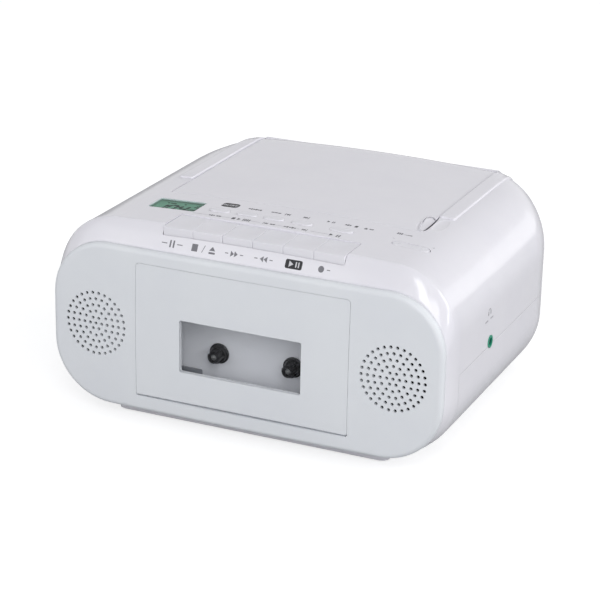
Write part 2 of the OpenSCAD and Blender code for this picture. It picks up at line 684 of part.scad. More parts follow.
// ---------- cassette side ----------
module door_shape(g) {
  ybox(-door_hw + g, door_hw - g, -3, 6, -36.1 + g, 37.7 - g, 2);
}
module cassette_door() color(cool) F() difference() {
  union() {
    intersection() {
      difference() {
        panel_face(0, 5);
        panel_core(2.6);
      }
      door_shape(0);
      // lower edge is turned about the hinge
      union() {
        box(-80, 80, -3, 10, door_z, 60);
        xcyl(door_y, door_z, 3.6, -80, 80);
      }
    }
    // stiffening frame behind the face
    difference() {
      ybox(-door_hw + 1.2, door_hw - 1.2, 2.5, 4.4, door_z, 36.4, 1.5);
      ybox(-46, 46, 2, 6, -22, 14.6, 1);
    }
    // hinge knuckles and stub pins
    for (s = [-1, 1]) {
      xcyl(door_y, door_z, 2.2, s > 0 ? 54 : -door_hw, s > 0 ? door_hw : -54);
      xcyl(door_y, door_z, 1.2, s > 0 ? 60 : -64.5, s > 0 ? 64.5 : -60);
    }
  }
  // window
  ybox(-34.4, 34.4, -3, 9, -18.1, 10.7, 0.9);
}
module door_lens() color([0.9, 0.95, 1, 0.3]) F() ybox(-37, 37, 3.15, 4.15, -20.5, 13.2, 0.9);
module cassette_holder() color(cool) F() difference() {
  union() {
    // side channels
    for (s = [-1, 1]) {
      box(s > 0 ? 51 : -53.2, s > 0 ? 53.2 : -51, 4.5, 18.4, -41.6, 22);
      box(s > 0 ? 46.5 : -53.2, s > 0 ? 53.2 : -46.5, 4.5, 6.1, -41.6, 22);
      // rear lip that keeps the cassette from falling out
      box(s > 0 ? 49.4 : -53.2, s > 0 ? 53.2 : -49.4, 17.2, 18.4, -41.6, 6);
    }
    // shelf
    box(-53.2, 53.2, 4.5, 18.4, -41.6, -40.2);
    box(-53.2, 53.2, 4.5, 6.1, -41.6, -33);
    // front frame that carries the face
    difference() {
      box(-53.2, 53.2, 4.5, 6.1, -33.1, 24);
      box(-46.5, 46.5, 4, 7, -24, 16);
    }
  }
}
module holder_springs() color(steel) F() for (s = [-1, 1]) union() {
  translate([s * 49.5, 6.12, 6]) box(-1.4, 1.4, 0, 0.3, -26, 4);
  translate([s * 49.5, 6.4, -12]) box(-1.4, 1.4, 0, 1.2, -3, 3);
}
module door_spring() color(steel) F() difference() {
  union() {
    for (k = [0:4]) xcyl(door_y + 6.2, -38.4, 2, -63.6 + k * 0.9, -63 + k * 0.9);
    box(-63.6, -59.3, door_y + 7.4, door_y + 8, -38.9, -37.9);
    box(-59.8, -59.2, door_y + 5.8, door_y + 6.6, -36.6, -30);
    box(-63.6, -63, door_y + 7.4, door_y + 16, -38.9, -38.3);
  }
  xcyl(door_y + 6.2, -38.4, 1.4, -70, -50);
}

// ---------- tape mechanism ----------
sx = spindle_pitch / 2;
module deck_plate() color([0.80, 0.81, 0.83]) F() difference() {
  union() {
    box(-58, 58, 21.4, 22.6, -31, 43);
    // side flanges fixed to the cabinet
    for (s = [-1, 1]) {
      box(s > 0 ? 56.8 : -58, s > 0 ? 58 : -56.8, 22.5, 34, -31, 43);
      for (z = [-24, 34]) box(s > 0 ? 57.9 : -66.4, s > 0 ? 66.4 : -57.9, 21.4, 22.6, z - 3, z + 3);
    }
    // top flange under the key springs
    box(-56.9, 56.9, 21.4, 31, 43, 44.2);
    // guide pins of the head plate
    for (x = [-27, 27]) ycyl(x, 33, 1.5, 18.4, 21.5);
    // cassette locating posts
    for (x = [-44, 44]) ycyl(x, 20, 1.4, 12.5, 21.5);
    // shaft bushes
    for (x = [-sx, sx]) difference() {
      ycyl(x, spindle_z, 3, 22.5, 24.4);
    }
    ycyl(fly_x, fly_z, 3, 19, 24.6);
  }
  for (x = [-sx, sx]) ycyl(x, spindle_z, 1.55, 10, 30);
  ycyl(fly_x, fly_z, 1.25, 10, 30);
  ycyl(mot_x, mot_z, 5, 20, 24);
  // head opening
  box(-13, 13, 20, 24, 16, 34);
  // hole for the sensing lever
  ycyl(-39.6, -27.4, 0.95, 20, 24);
  // screw holes
  for (x = [-63.5, 63.5]) for (z = [-24, 34]) ycyl(x, z, 1.5, 20, 24);
}
module spindle_shape(x) {
  difference() {
    union() {
      // collar on the plate, stepped barrel and finned tip
      ycyl(x, spindle_z, 6.2, 18.6, 20.9);
      ycyl(x, spindle_z, 4.6, 16.9, 18.7);
      ycyl(x, spindle_z, 3.4, 12.8, 17);
      for (a = [0:60:300]) translate([x, 0, spindle_z]) rotate([0, a, 0]) box(2.6, 4.3, 13.2, 17, -0.6, 0.6);
      // shaft and reel gear behind the plate
      ycyl(x, spindle_z, 1.5, 16, 28);
      ycyl(x, spindle_z, 8.2, 24.7, 26.3);
      for (a = [0:15:345]) translate([x, 0, spindle_z]) rotate([0, a, 0]) box(8, 8.9, 24.7, 26.3, -0.5, 0.5);
    }
    ycyl(x, spindle_z, 1.2, 12, 14.4);
  }
}
module supply_spindle() color(dark) F() spindle_shape(sx);
module takeup_spindle() color(dark) F() spindle_shape(-sx);
module capstan_flywheel() color(steel) F() difference() {
  union() {
    ycyl(fly_x, fly_z, 1.2, 10.2, 31);
    ycyl(fly_x, fly_z, 16.8, 27.4, 30.6);
    ycyl(fly_x, fly_z, 3.4, 25, 27.5);
  }
  difference() {
    ycyl(fly_x, fly_z, 17.6, 28.4, 29.8);
    ycyl(fly_x, fly_z, 16.3, 28, 30);
  }
}
module motor_pulley() color([0.75, 0.65, 0.40]) F() difference() {
  union() {
    ycyl(mot_x, mot_z, 4, 27.4, 30.8);
    ycyl(mot_x, mot_z, 1, 27, 46);
  }
  difference() {
    ycyl(mot_x, mot_z, 4.6, 28.4, 29.8);
    ycyl(mot_x, mot_z, 3.5, 28, 30);
  }
}
module tape_motor() color(steel) F() difference() {
  union() {
    ycyl(mot_x, mot_z, 15, 33, 54);
    ycyl(mot_x, mot_z, 5, 31.6, 33.1);
    // bracket to the plate
    for (z = [-14.9, 12.9]) box(mot_x - 6, mot_x + 6, 22.7, 34.2, mot_z + z, mot_z + z + 1.4);
  }
  ycyl(mot_x, mot_z, 1.06, 20, 50);
}
module drive_belt() color(dark) F() {
  // flat belt round the flywheel and the pulley
  d = [mot_x - fly_x, mot_z - fly_z];
  l = norm(d);
  a = atan2(d[1], d[0]);
  b = asin(12.8 / l);
  translate([fly_x, 28.6, fly_z]) rotate([0, -a, 0]) {
    difference() {
      union() {
        rotate([-90, 0, 0]) cylinder(r = 16.9, h = 1);
        translate([l, 0, 0]) rotate([-90, 0, 0]) cylinder(r = 4.1, h = 1);
        rotate([90, 0, 0]) translate([0, 0, -1]) linear_extrude(height = 1) polygon([
          [16.9 * sin(b), 16.9 * cos(b)], [l + 4.1 * sin(b), 4.1 * cos(b)],
          [l + 4.1 * sin(b), -4.1 * cos(b)], [16.9 * sin(b), -16.9 * cos(b)]]);
      }
      translate([0, -1, 0]) rotate([-90, 0, 0]) cylinder(r = 16.4, h = 3);
      translate([l, -1, 0]) rotate([-90, 0, 0]) cylinder(r = 3.6, h = 3);
      rotate([90, 0, 0]) translate([0, 0, -2]) linear_extrude(height = 3) polygon([
        [16.4 * sin(b), 16.4 * cos(b)], [l + 3.6 * sin(b), 3.6 * cos(b)],
        [l + 3.6 * sin(b), -3.6 * cos(b)], [16.4 * sin(b), -16.4 * cos(b)]]);
    }
  }
}
module head_plate() color(steel) F() difference() {
  union() {
    box(-46, 40, 19.6, 20.8, 27, 42);
    box(-38, -20, 19.6, 20.8, 23.4, 27.1);
    // lug that the play key pushes down
    box(key_mid + key_pitch * 1.5 - 3, key_mid + key_pitch * 1.5 + 3, 19.6, 20.8, 41.9, 45.65);
    box(key_mid + key_pitch * 1.5 - 3, key_mid + key_pitch * 1.5 + 3, 12.7, 20.8, 44.5, 45.65);
    // roller bearing pin
    ycyl(fly_x, 24.6, 0.9, 10.4, 20);
  }
  box(-10, 10, 19, 22, 26, 30);
  // guide slots
  for (x = [-27, 27]) ybox(x - 1.56, x + 1.56, 19, 22, 31.3, 38.3, 1.5);
}
module tape_heads() color([0.70, 0.70, 0.72]) F() union() {
  box(-6.5, 6.5, 9.6, 19.6, 25.5, 33);
  xcylhead();
  box(-9.5, 9.5, 18.6, 19.6, 30.2, 36);
  box(15, 23, 11, 19.6, 26, 33);
}
module xcylhead() intersection() {
  ycyl(0, 30.4, 8, 9.6, 18.6);
  box(-6, 6, 9.6, 18.6, 22.6, 27);
}
module pinch_roller() color(dark) F() difference() {
  ycyl(fly_x, 24.6, 5.6, 11, 17.6);
  ycyl(fly_x, 24.6, 0.95, 10, 19);
}
module sensing_lever() color([0.25, 0.25, 0.27]) F() difference() {
  union() {
    box(-46, -33.4, 19.6, 20.6, -29.6, -25.4);
    ycyl(-39.6, -27.4, 0.9, 20.5, 25);
    ycyl(-39.6, -27.4, 1.8, 24.2, 25);
  }
  ycyl(-39.6, -27.4, 0.6, 19, 20.2);
}

// ---------- selection ----------
upper_cabinet();
lower_cabinet();
front_panel();
rubber_feet();
cabinet_screws();
small_screws();
battery_tray();
battery_contacts();
battery_cover();
ac_inlet();
antenna_base();
antenna_rod_outer();
antenna_rod_middle();
antenna_rod_tip();
cd_lid();
cd_deck();
turntable();
disc_motor();
optical_pickup();
pickup_rails();
sled_screw();
lcd_module();
lcd_window();
key_pause();
key_stop_eject();
key_forward();
key_rewind();
key_play();
key_record();
key_shaft();
key_springs();
button_power();
button_source();
button_back();
button_next();
button_disc_play();
volume_rocker();
control_board();
main_board();
transformer();
speaker_frames();
speaker_cones();
headphone_jack();
jack_ring();
cassette_door();
door_lens();
cassette_holder();
holder_springs();
door_spring();
deck_plate();
supply_spindle();
takeup_spindle();
capstan_flywheel();
motor_pulley();
tape_motor();
drive_belt();
head_plate();
tape_heads();
pinch_roller();
sensing_lever();
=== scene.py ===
import bpy
import bmesh
import math
from mathutils import Vector, Matrix
from mathutils.bvhtree import BVHTree


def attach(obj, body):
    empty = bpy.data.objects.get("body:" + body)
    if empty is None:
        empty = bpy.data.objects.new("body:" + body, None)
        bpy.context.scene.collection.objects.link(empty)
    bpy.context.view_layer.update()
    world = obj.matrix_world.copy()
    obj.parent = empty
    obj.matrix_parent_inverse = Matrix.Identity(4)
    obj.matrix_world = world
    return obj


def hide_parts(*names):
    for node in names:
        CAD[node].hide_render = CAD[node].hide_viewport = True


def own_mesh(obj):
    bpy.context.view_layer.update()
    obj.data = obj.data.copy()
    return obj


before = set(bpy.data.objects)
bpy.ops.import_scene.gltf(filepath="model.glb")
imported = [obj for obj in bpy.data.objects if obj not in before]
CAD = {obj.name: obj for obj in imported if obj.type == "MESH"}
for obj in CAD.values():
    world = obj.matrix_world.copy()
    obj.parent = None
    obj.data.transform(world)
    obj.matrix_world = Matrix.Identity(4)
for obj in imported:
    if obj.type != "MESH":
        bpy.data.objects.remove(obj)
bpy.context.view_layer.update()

# The pieces are drawn in millimetres in the front frame (x across, y from the front apex to the rear, z from the
# height of the speaker centres) and moved once into the row frame.
DY, DZ = -105.94, 52.0
TO_M = Matrix.Translation((0, DY / 1000, DZ / 1000)) @ Matrix.Scale(0.001, 4)
SCN = bpy.context.scene
COLL = SCN.collection

# ------------------------------------------------------------------ materials


def rgb(r, g, b):
    f = lambda c: ((c / 255 + 0.055) / 1.055) ** 2.4 if c > 10.3 else c / 255 / 12.92
    return (f(r), f(g), f(b), 1)


class Nodes:
    """A small helper that adds nodes to one material."""

    def __init__(self, name):
        self.m = bpy.data.materials.new(name)
        self.m.use_nodes = True
        self.t = self.m.node_tree
        self.t.nodes.clear()
        self.out = self.add("ShaderNodeOutputMaterial")
        self.b = self.add("ShaderNodeBsdfPrincipled")
        self.t.links.new(self.b.outputs[0], self.out.inputs[0])
        self.obj = self.add("ShaderNodeTexCoord").outputs["Object"]

    def add(self, kind, **kw):
        n = self.t.nodes.new(kind)
        for k, v in kw.items():
            setattr(n, k, v)
        return n

    def link(self, a, b):
        self.t.links.new(a, b)

    def noise(self, scale, detail=2.0, rough=0.5, vec=None, stretch=None):
        n = self.add("ShaderNodeTexNoise")
        n.inputs["Scale"].default_value = scale
        n.inputs["Detail"].default_value = detail
        n.inputs["Roughness"].default_value = rough
        v = vec or self.obj
        if stretch:
            mp = self.add("ShaderNodeMapping")
            mp.inputs["Scale"].default_value = stretch
            self.link(v, mp.inputs["Vector"])
            v = mp.outputs[0]
        self.link(v, n.inputs["Vector"])
        return n.outputs["Fac"]

    def ramp(self, fac, lo, hi, a, b):
        n = self.add("ShaderNodeMapRange")
        n.inputs["From Min"].default_value = lo
        n.inputs["From Max"].default_value = hi
        n.inputs["To Min"].default_value = a
        n.inputs["To Max"].default_value = b
        self.link(fac, n.inputs["Value"])
        return n.outputs["Result"]

    def mix(self, fac, a, b):
        n = self.add("ShaderNodeMix", data_type="RGBA")
        if isinstance(fac, float):
            n.inputs[0].default_value = fac
        else:
            self.link(fac, n.inputs[0])
        for s, v in ((n.inputs[6], a), (n.inputs[7], b)):
            if isinstance(v, tuple):
                s.default_value = v
            else:
                self.link(v, s)
        return n.outputs[2]

    def math(self, op, a, b):
        n = self.add("ShaderNodeMath", operation=op)
        for s, v in ((n.inputs[0], a), (n.inputs[1], b)):
            if isinstance(v, (int, float)):
                s.default_value = v
            else:
                self.link(v, s)
        return n.outputs[0]

    def bump(self, height, strength, distance, under=None):
        n = self.add("ShaderNodeBump")
        n.inputs["Strength"].default_value = strength
        n.inputs["Distance"].default_value = distance
        self.link(height, n.inputs["Height"])
        if under:
            self.link(under, n.inputs["Normal"])
        return n.outputs[0]

    def edge(self, radius):
        """Rounded-edge normal, and a mask that is 1 on sharp edges."""
        bv = self.add("ShaderNodeBevel", samples=4)
        bv.inputs["Radius"].default_value = radius
        g = self.add("ShaderNodeNewGeometry")
        d = self.add("ShaderNodeVectorMath", operation="DOT_PRODUCT")
        self.link(bv.outputs[0], d.inputs[0])
        self.link(g.outputs["Normal"], d.inputs[1])
        return bv.outputs[0], self.ramp(d.outputs["Value"], 0.99, 0.75, 0.0, 1.0)


def plastic(name, a, b, rough=0.3, spread=0.05, grain=4200, depth=0.000012, strength=0.25, ior=1.5, coat=0.0,
            bevel=0.00022, wear=None, spec=0.5, coat_rough=0.08, wave=0.0, scale=28):
    n = Nodes(name)
    big = n.noise(scale, 3, 0.55)
    col = n.mix(n.ramp(big, 0.32, 0.68, 0, 1), a, b)
    fine = n.noise(scale * 9, 4, 0.6)
    r = n.ramp(fine, 0.3, 0.7, rough - spread, rough + spread)
    g = n.noise(grain, 2, 0.6)
    under = None
    if bevel:
        under, mask = n.edge(bevel)
        if wear:
            worn = n.math("MULTIPLY", mask, n.ramp(n.noise(160, 3, 0.6), 0.45, 0.62, 0, 1))
            col = n.mix(worn, col, wear)
            r = n.math("ADD", r, n.math("MULTIPLY", worn, 0.12))
    nrm = n.bump(g, strength, depth, under)
    if wave:
        nrm = n.bump(n.noise(95, 2, 0.4), wave, 0.0002, nrm)
    n.link(col, n.b.inputs["Base Color"])
    n.link(r, n.b.inputs["Roughness"])
    n.link(nrm, n.b.inputs["Normal"])
    n.b.inputs["IOR"].default_value = ior
    n.b.inputs["Specular IOR Level"].default_value = spec
    n.b.inputs["Coat Weight"].default_value = coat
    n.b.inputs["Coat Roughness"].default_value = coat_rough
    return n.m


def metal(name, a, b, rough=0.28, spread=0.08, stretch=(1, 1, 1), scale=900, depth=0.00001, strength=0.3, bevel=0.00012,
          aniso=0.0, stain=None):
    n = Nodes(name)
    streak = n.noise(scale, 4, 0.65, stretch=stretch)
    col = n.mix(n.ramp(streak, 0.35, 0.65, 0, 1), a, b)
    big = n.noise(60, 3, 0.6)
    if stain:
        col = n.mix(n.ramp(big, 0.52, 0.75, 0, 0.6), col, stain)
    r = n.math("ADD", n.ramp(streak, 0.3, 0.7, rough - spread, rough + spread), n.ramp(big, 0.3, 0.7, -0.03, 0.05))
    under = n.edge(bevel)[0] if bevel else None
    n.link(col, n.b.inputs["Base Color"])
    n.link(r, n.b.inputs["Roughness"])
    n.link(n.bump(streak, strength, depth, under), n.b.inputs["Normal"])
    n.b.inputs["Metallic"].default_value = 1.0
    n.b.inputs["Anisotropic"].default_value = aniso
    return n.m


def clear(name, tint, rough=0.04, ior=1.45):
    """Thin clear plastic: seen through, with the shine of its surface."""
    n = Nodes(name)
    n.t.nodes.remove(n.b)
    tr = n.add("ShaderNodeBsdfTransparent")
    haze = n.ramp(n.noise(70, 4, 0.6), 0.35, 0.7, 0.0, 0.05)
    n.link(n.mix(haze, tint, rgb(232, 234, 236)), tr.inputs["Color"])
    gl = n.add("ShaderNodeBsdfGlossy")
    gl.inputs["Color"].default_value = (0.9, 0.9, 0.9, 1)
    n.link(n.ramp(n.noise(320, 3, 0.6), 0.3, 0.7, rough, rough + 0.05), gl.inputs["Roughness"])
    n.link(n.bump(n.noise(60, 2, 0.4), 0.1, 0.0001), gl.inputs["Normal"])
    fr = n.add("ShaderNodeFresnel")
    fr.inputs["IOR"].default_value = ior
    mx = n.add("ShaderNodeMixShader")
    geo = n.add("ShaderNodeNewGeometry")
    front = n.math("SUBTRACT", 1.0, geo.outputs["Backfacing"])
    n.link(n.math("MULTIPLY", n.math("MULTIPLY", fr.outputs[0], 0.55), front), mx.inputs[0])
    n.link(tr.outputs[0], mx.inputs[1])
    n.link(gl.outputs[0], mx.inputs[2])
    n.link(mx.outputs[0], n.out.inputs[0])
    return n.m


M = {}
M["cabinet"] = plastic("cabinet_gloss_white", rgb(226, 225, 231), rgb(223, 222, 229), rough=0.2, spread=0.03, grain=5200,
                       depth=0.000004, strength=0.15, coat=0.35, wear=rgb(206, 205, 211), wave=0.02, coat_rough=0.06)
M["panel"] = plastic("panel_satin_white", rgb(221, 224, 228), rgb(218, 221, 226), rough=0.42, spread=0.05, grain=3600,
                     depth=0.000012, strength=0.35, wear=rgb(204, 207, 212))
M["key"] = plastic("key_satin_white", rgb(224, 223, 229), rgb(221, 221, 227), rough=0.36, spread=0.03, grain=5200,
                   depth=0.000002, strength=0.08, wear=rgb(204, 204, 210))
M["inner"] = plastic("inner_moulding_grey", rgb(176, 177, 181), rgb(168, 169, 174), rough=0.5, spread=0.08, grain=2600,
                     depth=0.00002, strength=0.4, wear=rgb(190, 190, 193))
M["black"] = plastic("black_moulding", rgb(22, 22, 24), rgb(32, 32, 35), rough=0.34, spread=0.1, grain=2400,
                     depth=0.00002, strength=0.5, wear=rgb(74, 74, 78), bevel=0.00015)
M["dark"] = plastic("dark_grey_moulding", rgb(94, 95, 99), rgb(108, 109, 113), rough=0.45, spread=0.08, grain=2400,
                    depth=0.00002, strength=0.4, wear=rgb(134, 134, 138), bevel=0.00015)
M["tab"] = plastic("sensing_tab_grey", rgb(146, 147, 151), rgb(136, 137, 142), rough=0.45, spread=0.06)
M["rubber"] = plastic("soft_rubber", rgb(38, 38, 39), rgb(52, 52, 53), rough=0.72, spread=0.1, grain=1500,
                      depth=0.00005, strength=0.6, ior=1.4, bevel=0.0003, wear=rgb(92, 91, 90))
M["screw"] = metal("screw_steel", rgb(168, 168, 166), rgb(128, 128, 128), rough=0.34, scale=500, stain=rgb(110, 104, 96))
M["deck"] = plastic("painted_deck_plate", rgb(240, 239, 241), rgb(236, 235, 238), rough=0.5, spread=0.06, grain=1800,
                    depth=0.00002, strength=0.3, wear=rgb(150, 150, 152))
M["plate"] = metal("pressed_plate", rgb(186, 188, 192), rgb(170, 172, 177), rough=0.5, spread=0.06,
                   stretch=(1, 1, 14), scale=160, depth=0.00001, strength=0.25)
M["bright"] = metal("bright_steel", rgb(214, 215, 217), rgb(190, 191, 194), rough=0.16, spread=0.06,
                    stretch=(0.08, 1, 1), scale=700, strength=0.12)
M["core"] = metal("core_steel", rgb(120, 118, 116), rgb(92, 91, 90), rough=0.5, spread=0.1,
                  stretch=(1, 1, 26), scale=260, depth=0.00004, strength=0.5, stain=rgb(102, 78, 58))
M["brass"] = metal("pulley_brass", rgb(196, 170, 106), rgb(168, 140, 82), rough=0.3, scale=700)
M["cone"] = plastic("cone_paper", rgb(34, 33, 34), rgb(50, 48, 47), rough=0.85, spread=0.06, grain=900,
                    depth=0.00009, strength=0.8, bevel=0.0, spec=0.2)
M["green"] = plastic("ring_green", rgb(18, 150, 118), rgb(14, 134, 104), rough=0.35, spread=0.06, bevel=0.0001,
                     wear=rgb(96, 180, 146))
M["ink"] = plastic("printed_ink", rgb(112, 112, 118), rgb(124, 124, 130), rough=0.5, spread=0.08, grain=3000, bevel=0.0,
                   scale=240)
M["ink_dark"] = plastic("printed_ink_dark", rgb(30, 31, 35), rgb(40, 41, 46), rough=0.45, spread=0.08, bevel=0.0,
                        scale=200)
M["ink_deck"] = plastic("printed_ink_small", rgb(70, 70, 76), rgb(84, 84, 90), rough=0.5, spread=0.08, grain=3000,
                        bevel=0.0, scale=240)
M["ink_line"] = plastic("printed_ink_line", rgb(150, 150, 156), rgb(166, 166, 172), rough=0.5, spread=0.08, grain=3000,
                        bevel=0.0, scale=240)
M["ink_white"] = plastic("printed_ink_white", rgb(214, 214, 218), rgb(200, 200, 205), rough=0.5, bevel=0.0, scale=200)
M["coil"] = metal("wound_copper", rgb(176, 104, 62), rgb(128, 72, 42), rough=0.42, spread=0.1, stretch=(30, 1, 1),
                  scale=60, depth=0.0001, strength=0.8)
M["door_glass"] = clear("door_window_clear", rgb(250, 251, 252))
M["lcd_glass"] = clear("display_window_clear", rgb(240, 248, 245), rough=0.06, ior=1.33)
# grey-green mask ring round the display: its darker tone is partly the mask's own colour and partly painted shade for
# the shadow along the window's rim
M["lcd_rim"] = plastic("display_mask_and_painted_shade", rgb(112, 134, 126), rgb(104, 126, 118), rough=0.5, spread=0.06)
M["lcd_ink"] = plastic("display_segment_ink", rgb(20, 44, 40), rgb(26, 52, 47), rough=0.6, spread=0.05, bevel=0.0, spec=0.15)


def board_material():
    n = Nodes("board_green")
    br = n.add("ShaderNodeTexBrick")
    br.inputs["Scale"].default_value = 210
    br.inputs["Mortar Size"].default_value = 0.035
    br.inputs["Color1"].default_value = rgb(24, 84, 52)
    br.inputs["Color2"].default_value = rgb(30, 96, 60)
    br.inputs["Mortar"].default_value = rgb(58, 128, 84)
    n.link(n.obj, br.inputs["Vector"])
    vo = n.add("ShaderNodeTexVoronoi")
    vo.inputs["Scale"].default_value = 320
    n.link(n.obj, vo.inputs["Vector"])
    dots = n.ramp(vo.outputs["Distance"], 0.16, 0.12, 0, 1)
    n.link(n.mix(dots, br.outputs["Color"], rgb(186, 182, 160)), n.b.inputs["Base Color"])
    n.link(n.ramp(n.noise(300, 3), 0.3, 0.7, 0.28, 0.45), n.b.inputs["Roughness"])
    n.link(n.bump(br.outputs["Fac"], 0.3, 0.00004), n.b.inputs["Normal"])
    return n.m


M["board"] = board_material()


def lcd_material():
    """The display's reflector: a grey green with a fine grain."""
    n = Nodes("display_reflector")
    g = n.noise(2600, 3, 0.7)
    big = n.noise(46, 2, 0.5)
    col = n.mix(n.ramp(big, 0.35, 0.65, 0, 1), rgb(112, 158, 138), rgb(124, 170, 149))
    n.link(n.mix(n.ramp(g, 0.4, 0.7, 0, 0.25), col, rgb(92, 140, 122)), n.b.inputs["Base Color"])
    n.link(n.ramp(g, 0.3, 0.7, 0.4, 0.6), n.b.inputs["Roughness"])
    n.link(n.bump(g, 0.3, 0.00002), n.b.inputs["Normal"])
    return n.m


M["lcd"] = lcd_material()

# ------------------------------------------------------------------ shapes


def arc(cx, cz, r, a0, a1, n):
    return [(cx + r * math.cos(math.radians(a0 + (a1 - a0) * i / n)),
             cz + r * math.sin(math.radians(a0 + (a1 - a0) * i / n))) for i in range(n + 1)]


def crown(w, t, rt, cr):
    """Angle at which the shoulder arc meets the crowned top in one tangent."""
    lo, hi = 70.0, 89.99
    for _ in range(40):
        a = (lo + hi) / 2
        r = math.radians(a)
        top = t - cr - rt + rt * math.sin(r) + 0.5 / math.tan(r) * (w - rt + rt * math.cos(r))
        lo, hi = (a, hi) if top > t else (lo, a)
    return lo


def sec(w, t, b, rt, rb, cr, n=14, m=24, k=10):
    """Closed cabinet section, always the same number of points."""
    a = crown(w, t, rt, cr)
    tc = t - cr - rt
    xe = w - rt + rt * math.cos(math.radians(a))
    ze = tc + rt * math.sin(math.radians(a))
    up = arc(w - rt, tc, rt, 0, a, n)
    top = [(xe * (1 - 2 * i / m), 0) for i in range(1, m)]
    top = [(x, t - (t - ze) * (x / xe) ** 2) for x, _ in top]
    left = [(-x, z) for x, z in reversed(up)]
    side = [(-w, tc + (-b + rb - tc) * i / k) for i in range(1, k)]
    low = arc(-(w - rb), -b + rb, rb, 180, 270, n)
    flat = [(-(w - rb) + 2 * (w - rb) * i / m, -b) for i in range(1, m)]
    low2 = arc(w - rb, -b + rb, rb, 270, 360, n)
    side2 = [(w, -b + rb + (tc + b - rb) * i / k) for i in range(1, k)]
    return up + top + left + side + low + flat + low2 + side2


def bend_y(b, x, z):
    return b * (0.00017 * x * x + 0.0005 * z * z)


def ins(r, y):
    return r - math.sqrt(max(r * r - (y - 205 + r) ** 2, 0)) if y > 205 - r else 0.0


def bsec(y, o, **kw):
    q = ins(60, y + o)
    return sec(111.6 - o - q, 58.2 - o - ins(27, y + o), 46 - o - ins(18, y + o), max(35 - o - q * 0.4, 6),
               max(32 - o - q * 0.4, 6), 2, **kw)


def smin(a, b, k):
    h = max(k - abs(a - b), 0) / k
    return min(a, b) - h * h * k * 0.25


def band(y, o=0.0):
    """Section settings of the front band between the panel seam (y 4.1) and the straight body (y 22)."""
    s = (y - 4.1) / 17.9
    w = 111.6 - 1.6 * (1 - s) ** 2
    t = smin(45 + (y - 4.1) * 1.5714 + 1.1 * math.sin(math.pi * min(1, (y - 4.1) / 8.4)), 58.2, 1.2)
    b = 46 - 1.0 * (1 - s) ** 2
    u = min(1, (y - 4.1) / 8.4)
    rt = 31 + 3 * u if y < 12.5 else 34 + (y - 12.5) / 9.5
    cr = 0.2 + 1.7 * u if y < 12.5 else 1.9 + 0.1 * (y - 12.5) / 9.5
    rb = 33 - max(0, (y - 12.5) / 9.5)
    bn = 1 - 0.5 * u if y < 12.5 else 0.5 * (1 - (y - 12.5) / 9.5)
    return (w - o, t - o, b - o, rt - o, rb - o, cr), bn


def top_at(w, t, rt, cr, x):
    a = math.radians(crown(w, t, rt, cr))
    tc = t - cr - rt
    xe = w - rt + rt * math.cos(a)
    x = abs(x)
    if x <= xe:
        return t - (t - tc - rt * math.sin(a)) * (x / xe) ** 2
    return tc + math.sqrt(max(rt * rt - (x - w + rt) ** 2, 0))


_tc = {}


def top_z(x, y):
    """Height of the crowned top behind the front band."""
    if y < 22:
        (w, t, b, rt, rb, cr), bn = band(y)
    else:
        q = ins(60, y)
        w, t, rt, cr = 111.6 - q, 58.2 - ins(27, y), max(35 - q * 0.4, 6), 2
    return top_at(w, t, rt, cr, x)


def slope_pt(x, y):
    """Point on the sloping front band."""
    (w, t, b, rt, rb, cr), bn = band(y)
    z = top_at(w, t, rt, cr, x)
    return Vector((x, y + bend_y(bn, x, z), z))


def mesh_obj(name, verts, faces):
    me = bpy.data.meshes.new(name)
    me.from_pydata([tuple(v) for v in verts], [], faces)
    me.validate()
    o = bpy.data.objects.new(name, me)
    COLL.objects.link(o)
    return o


def fix(o):
    bm = bmesh.new()
    bm.from_mesh(o.data)
    bmesh.ops.recalc_face_normals(bm, faces=bm.faces)
    bm.to_mesh(o.data)
    bm.free()
    return o


def loft(name, rows, secs, bends):
    """Closed solid through sections; each end is closed by a fan."""
    m = len(secs[0])
    v = []
    for y, s, b in zip(rows, secs, bends):
        v += [(x, y + bend_y(b, x, z), z) for x, z in s]
    f = []
    for j in range(len(rows) - 1):
        for i in range(m):
            a, b = j * m + i, j * m + (i + 1) % m
            f.append((a, b, b + m, a + m))
    for j in (0, len(rows) - 1):
        c = len(v)
        p = [Vector(q) for q in v[j * m:(j + 1) * m]]
        zc = (max(q.z for q in p) + min(q.z for q in p)) / 2
        v.append((0, min(q.y for q in p) if j == 0 else rows[j], zc))
        for i in range(m):
            a, b = j * m + i, j * m + (i + 1) % m
            f.append((b, a, c) if j == 0 else (a, b, c))
    return fix(mesh_obj(name, v, f))


def box(x0, x1, y0, y1, z0, z1, name="cut"):
    v = [(x, y, z) for z in (z0, z1) for y in (y0, y1) for x in (x0, x1)]
    f = [(0, 2, 3, 1), (4, 5, 7, 6), (0, 1, 5, 4), (2, 6, 7, 3), (0, 4, 6, 2), (1, 3, 7, 5)]
    return mesh_obj(name, v, f)


def rrect(x0, x1, y0, y1, r, n=6):
    """Rounded rectangle outline, anticlockwise."""
    p = []
    for cx, cy, a in ((x1 - r, y0 + r, 270), (x1 - r, y1 - r, 0), (x0 + r, y1 - r, 90), (x0 + r, y0 + r, 180)):
        p += arc(cx, cy, r, a, a + 90, n)
    return p


def pill(x0, x1, y0, y1, n=10):
    r = (y1 - y0) / 2
    return arc(x1 - r, y0 + r, r, -90, 90, n * 2) + arc(x0 + r, y0 + r, r, 90, 270, n * 2)


def split(p, step):
    """Outline with its long sides cut into steps."""
    out = []
    for i, a in enumerate(p):
        b = p[(i + 1) % len(p)]
        k = max(1, int(math.hypot(b[0] - a[0], b[1] - a[1]) / step + 0.5))
        out += [(a[0] + (b[0] - a[0]) * j / k, a[1] + (b[1] - a[1]) * j / k) for j in range(k)]
    return out


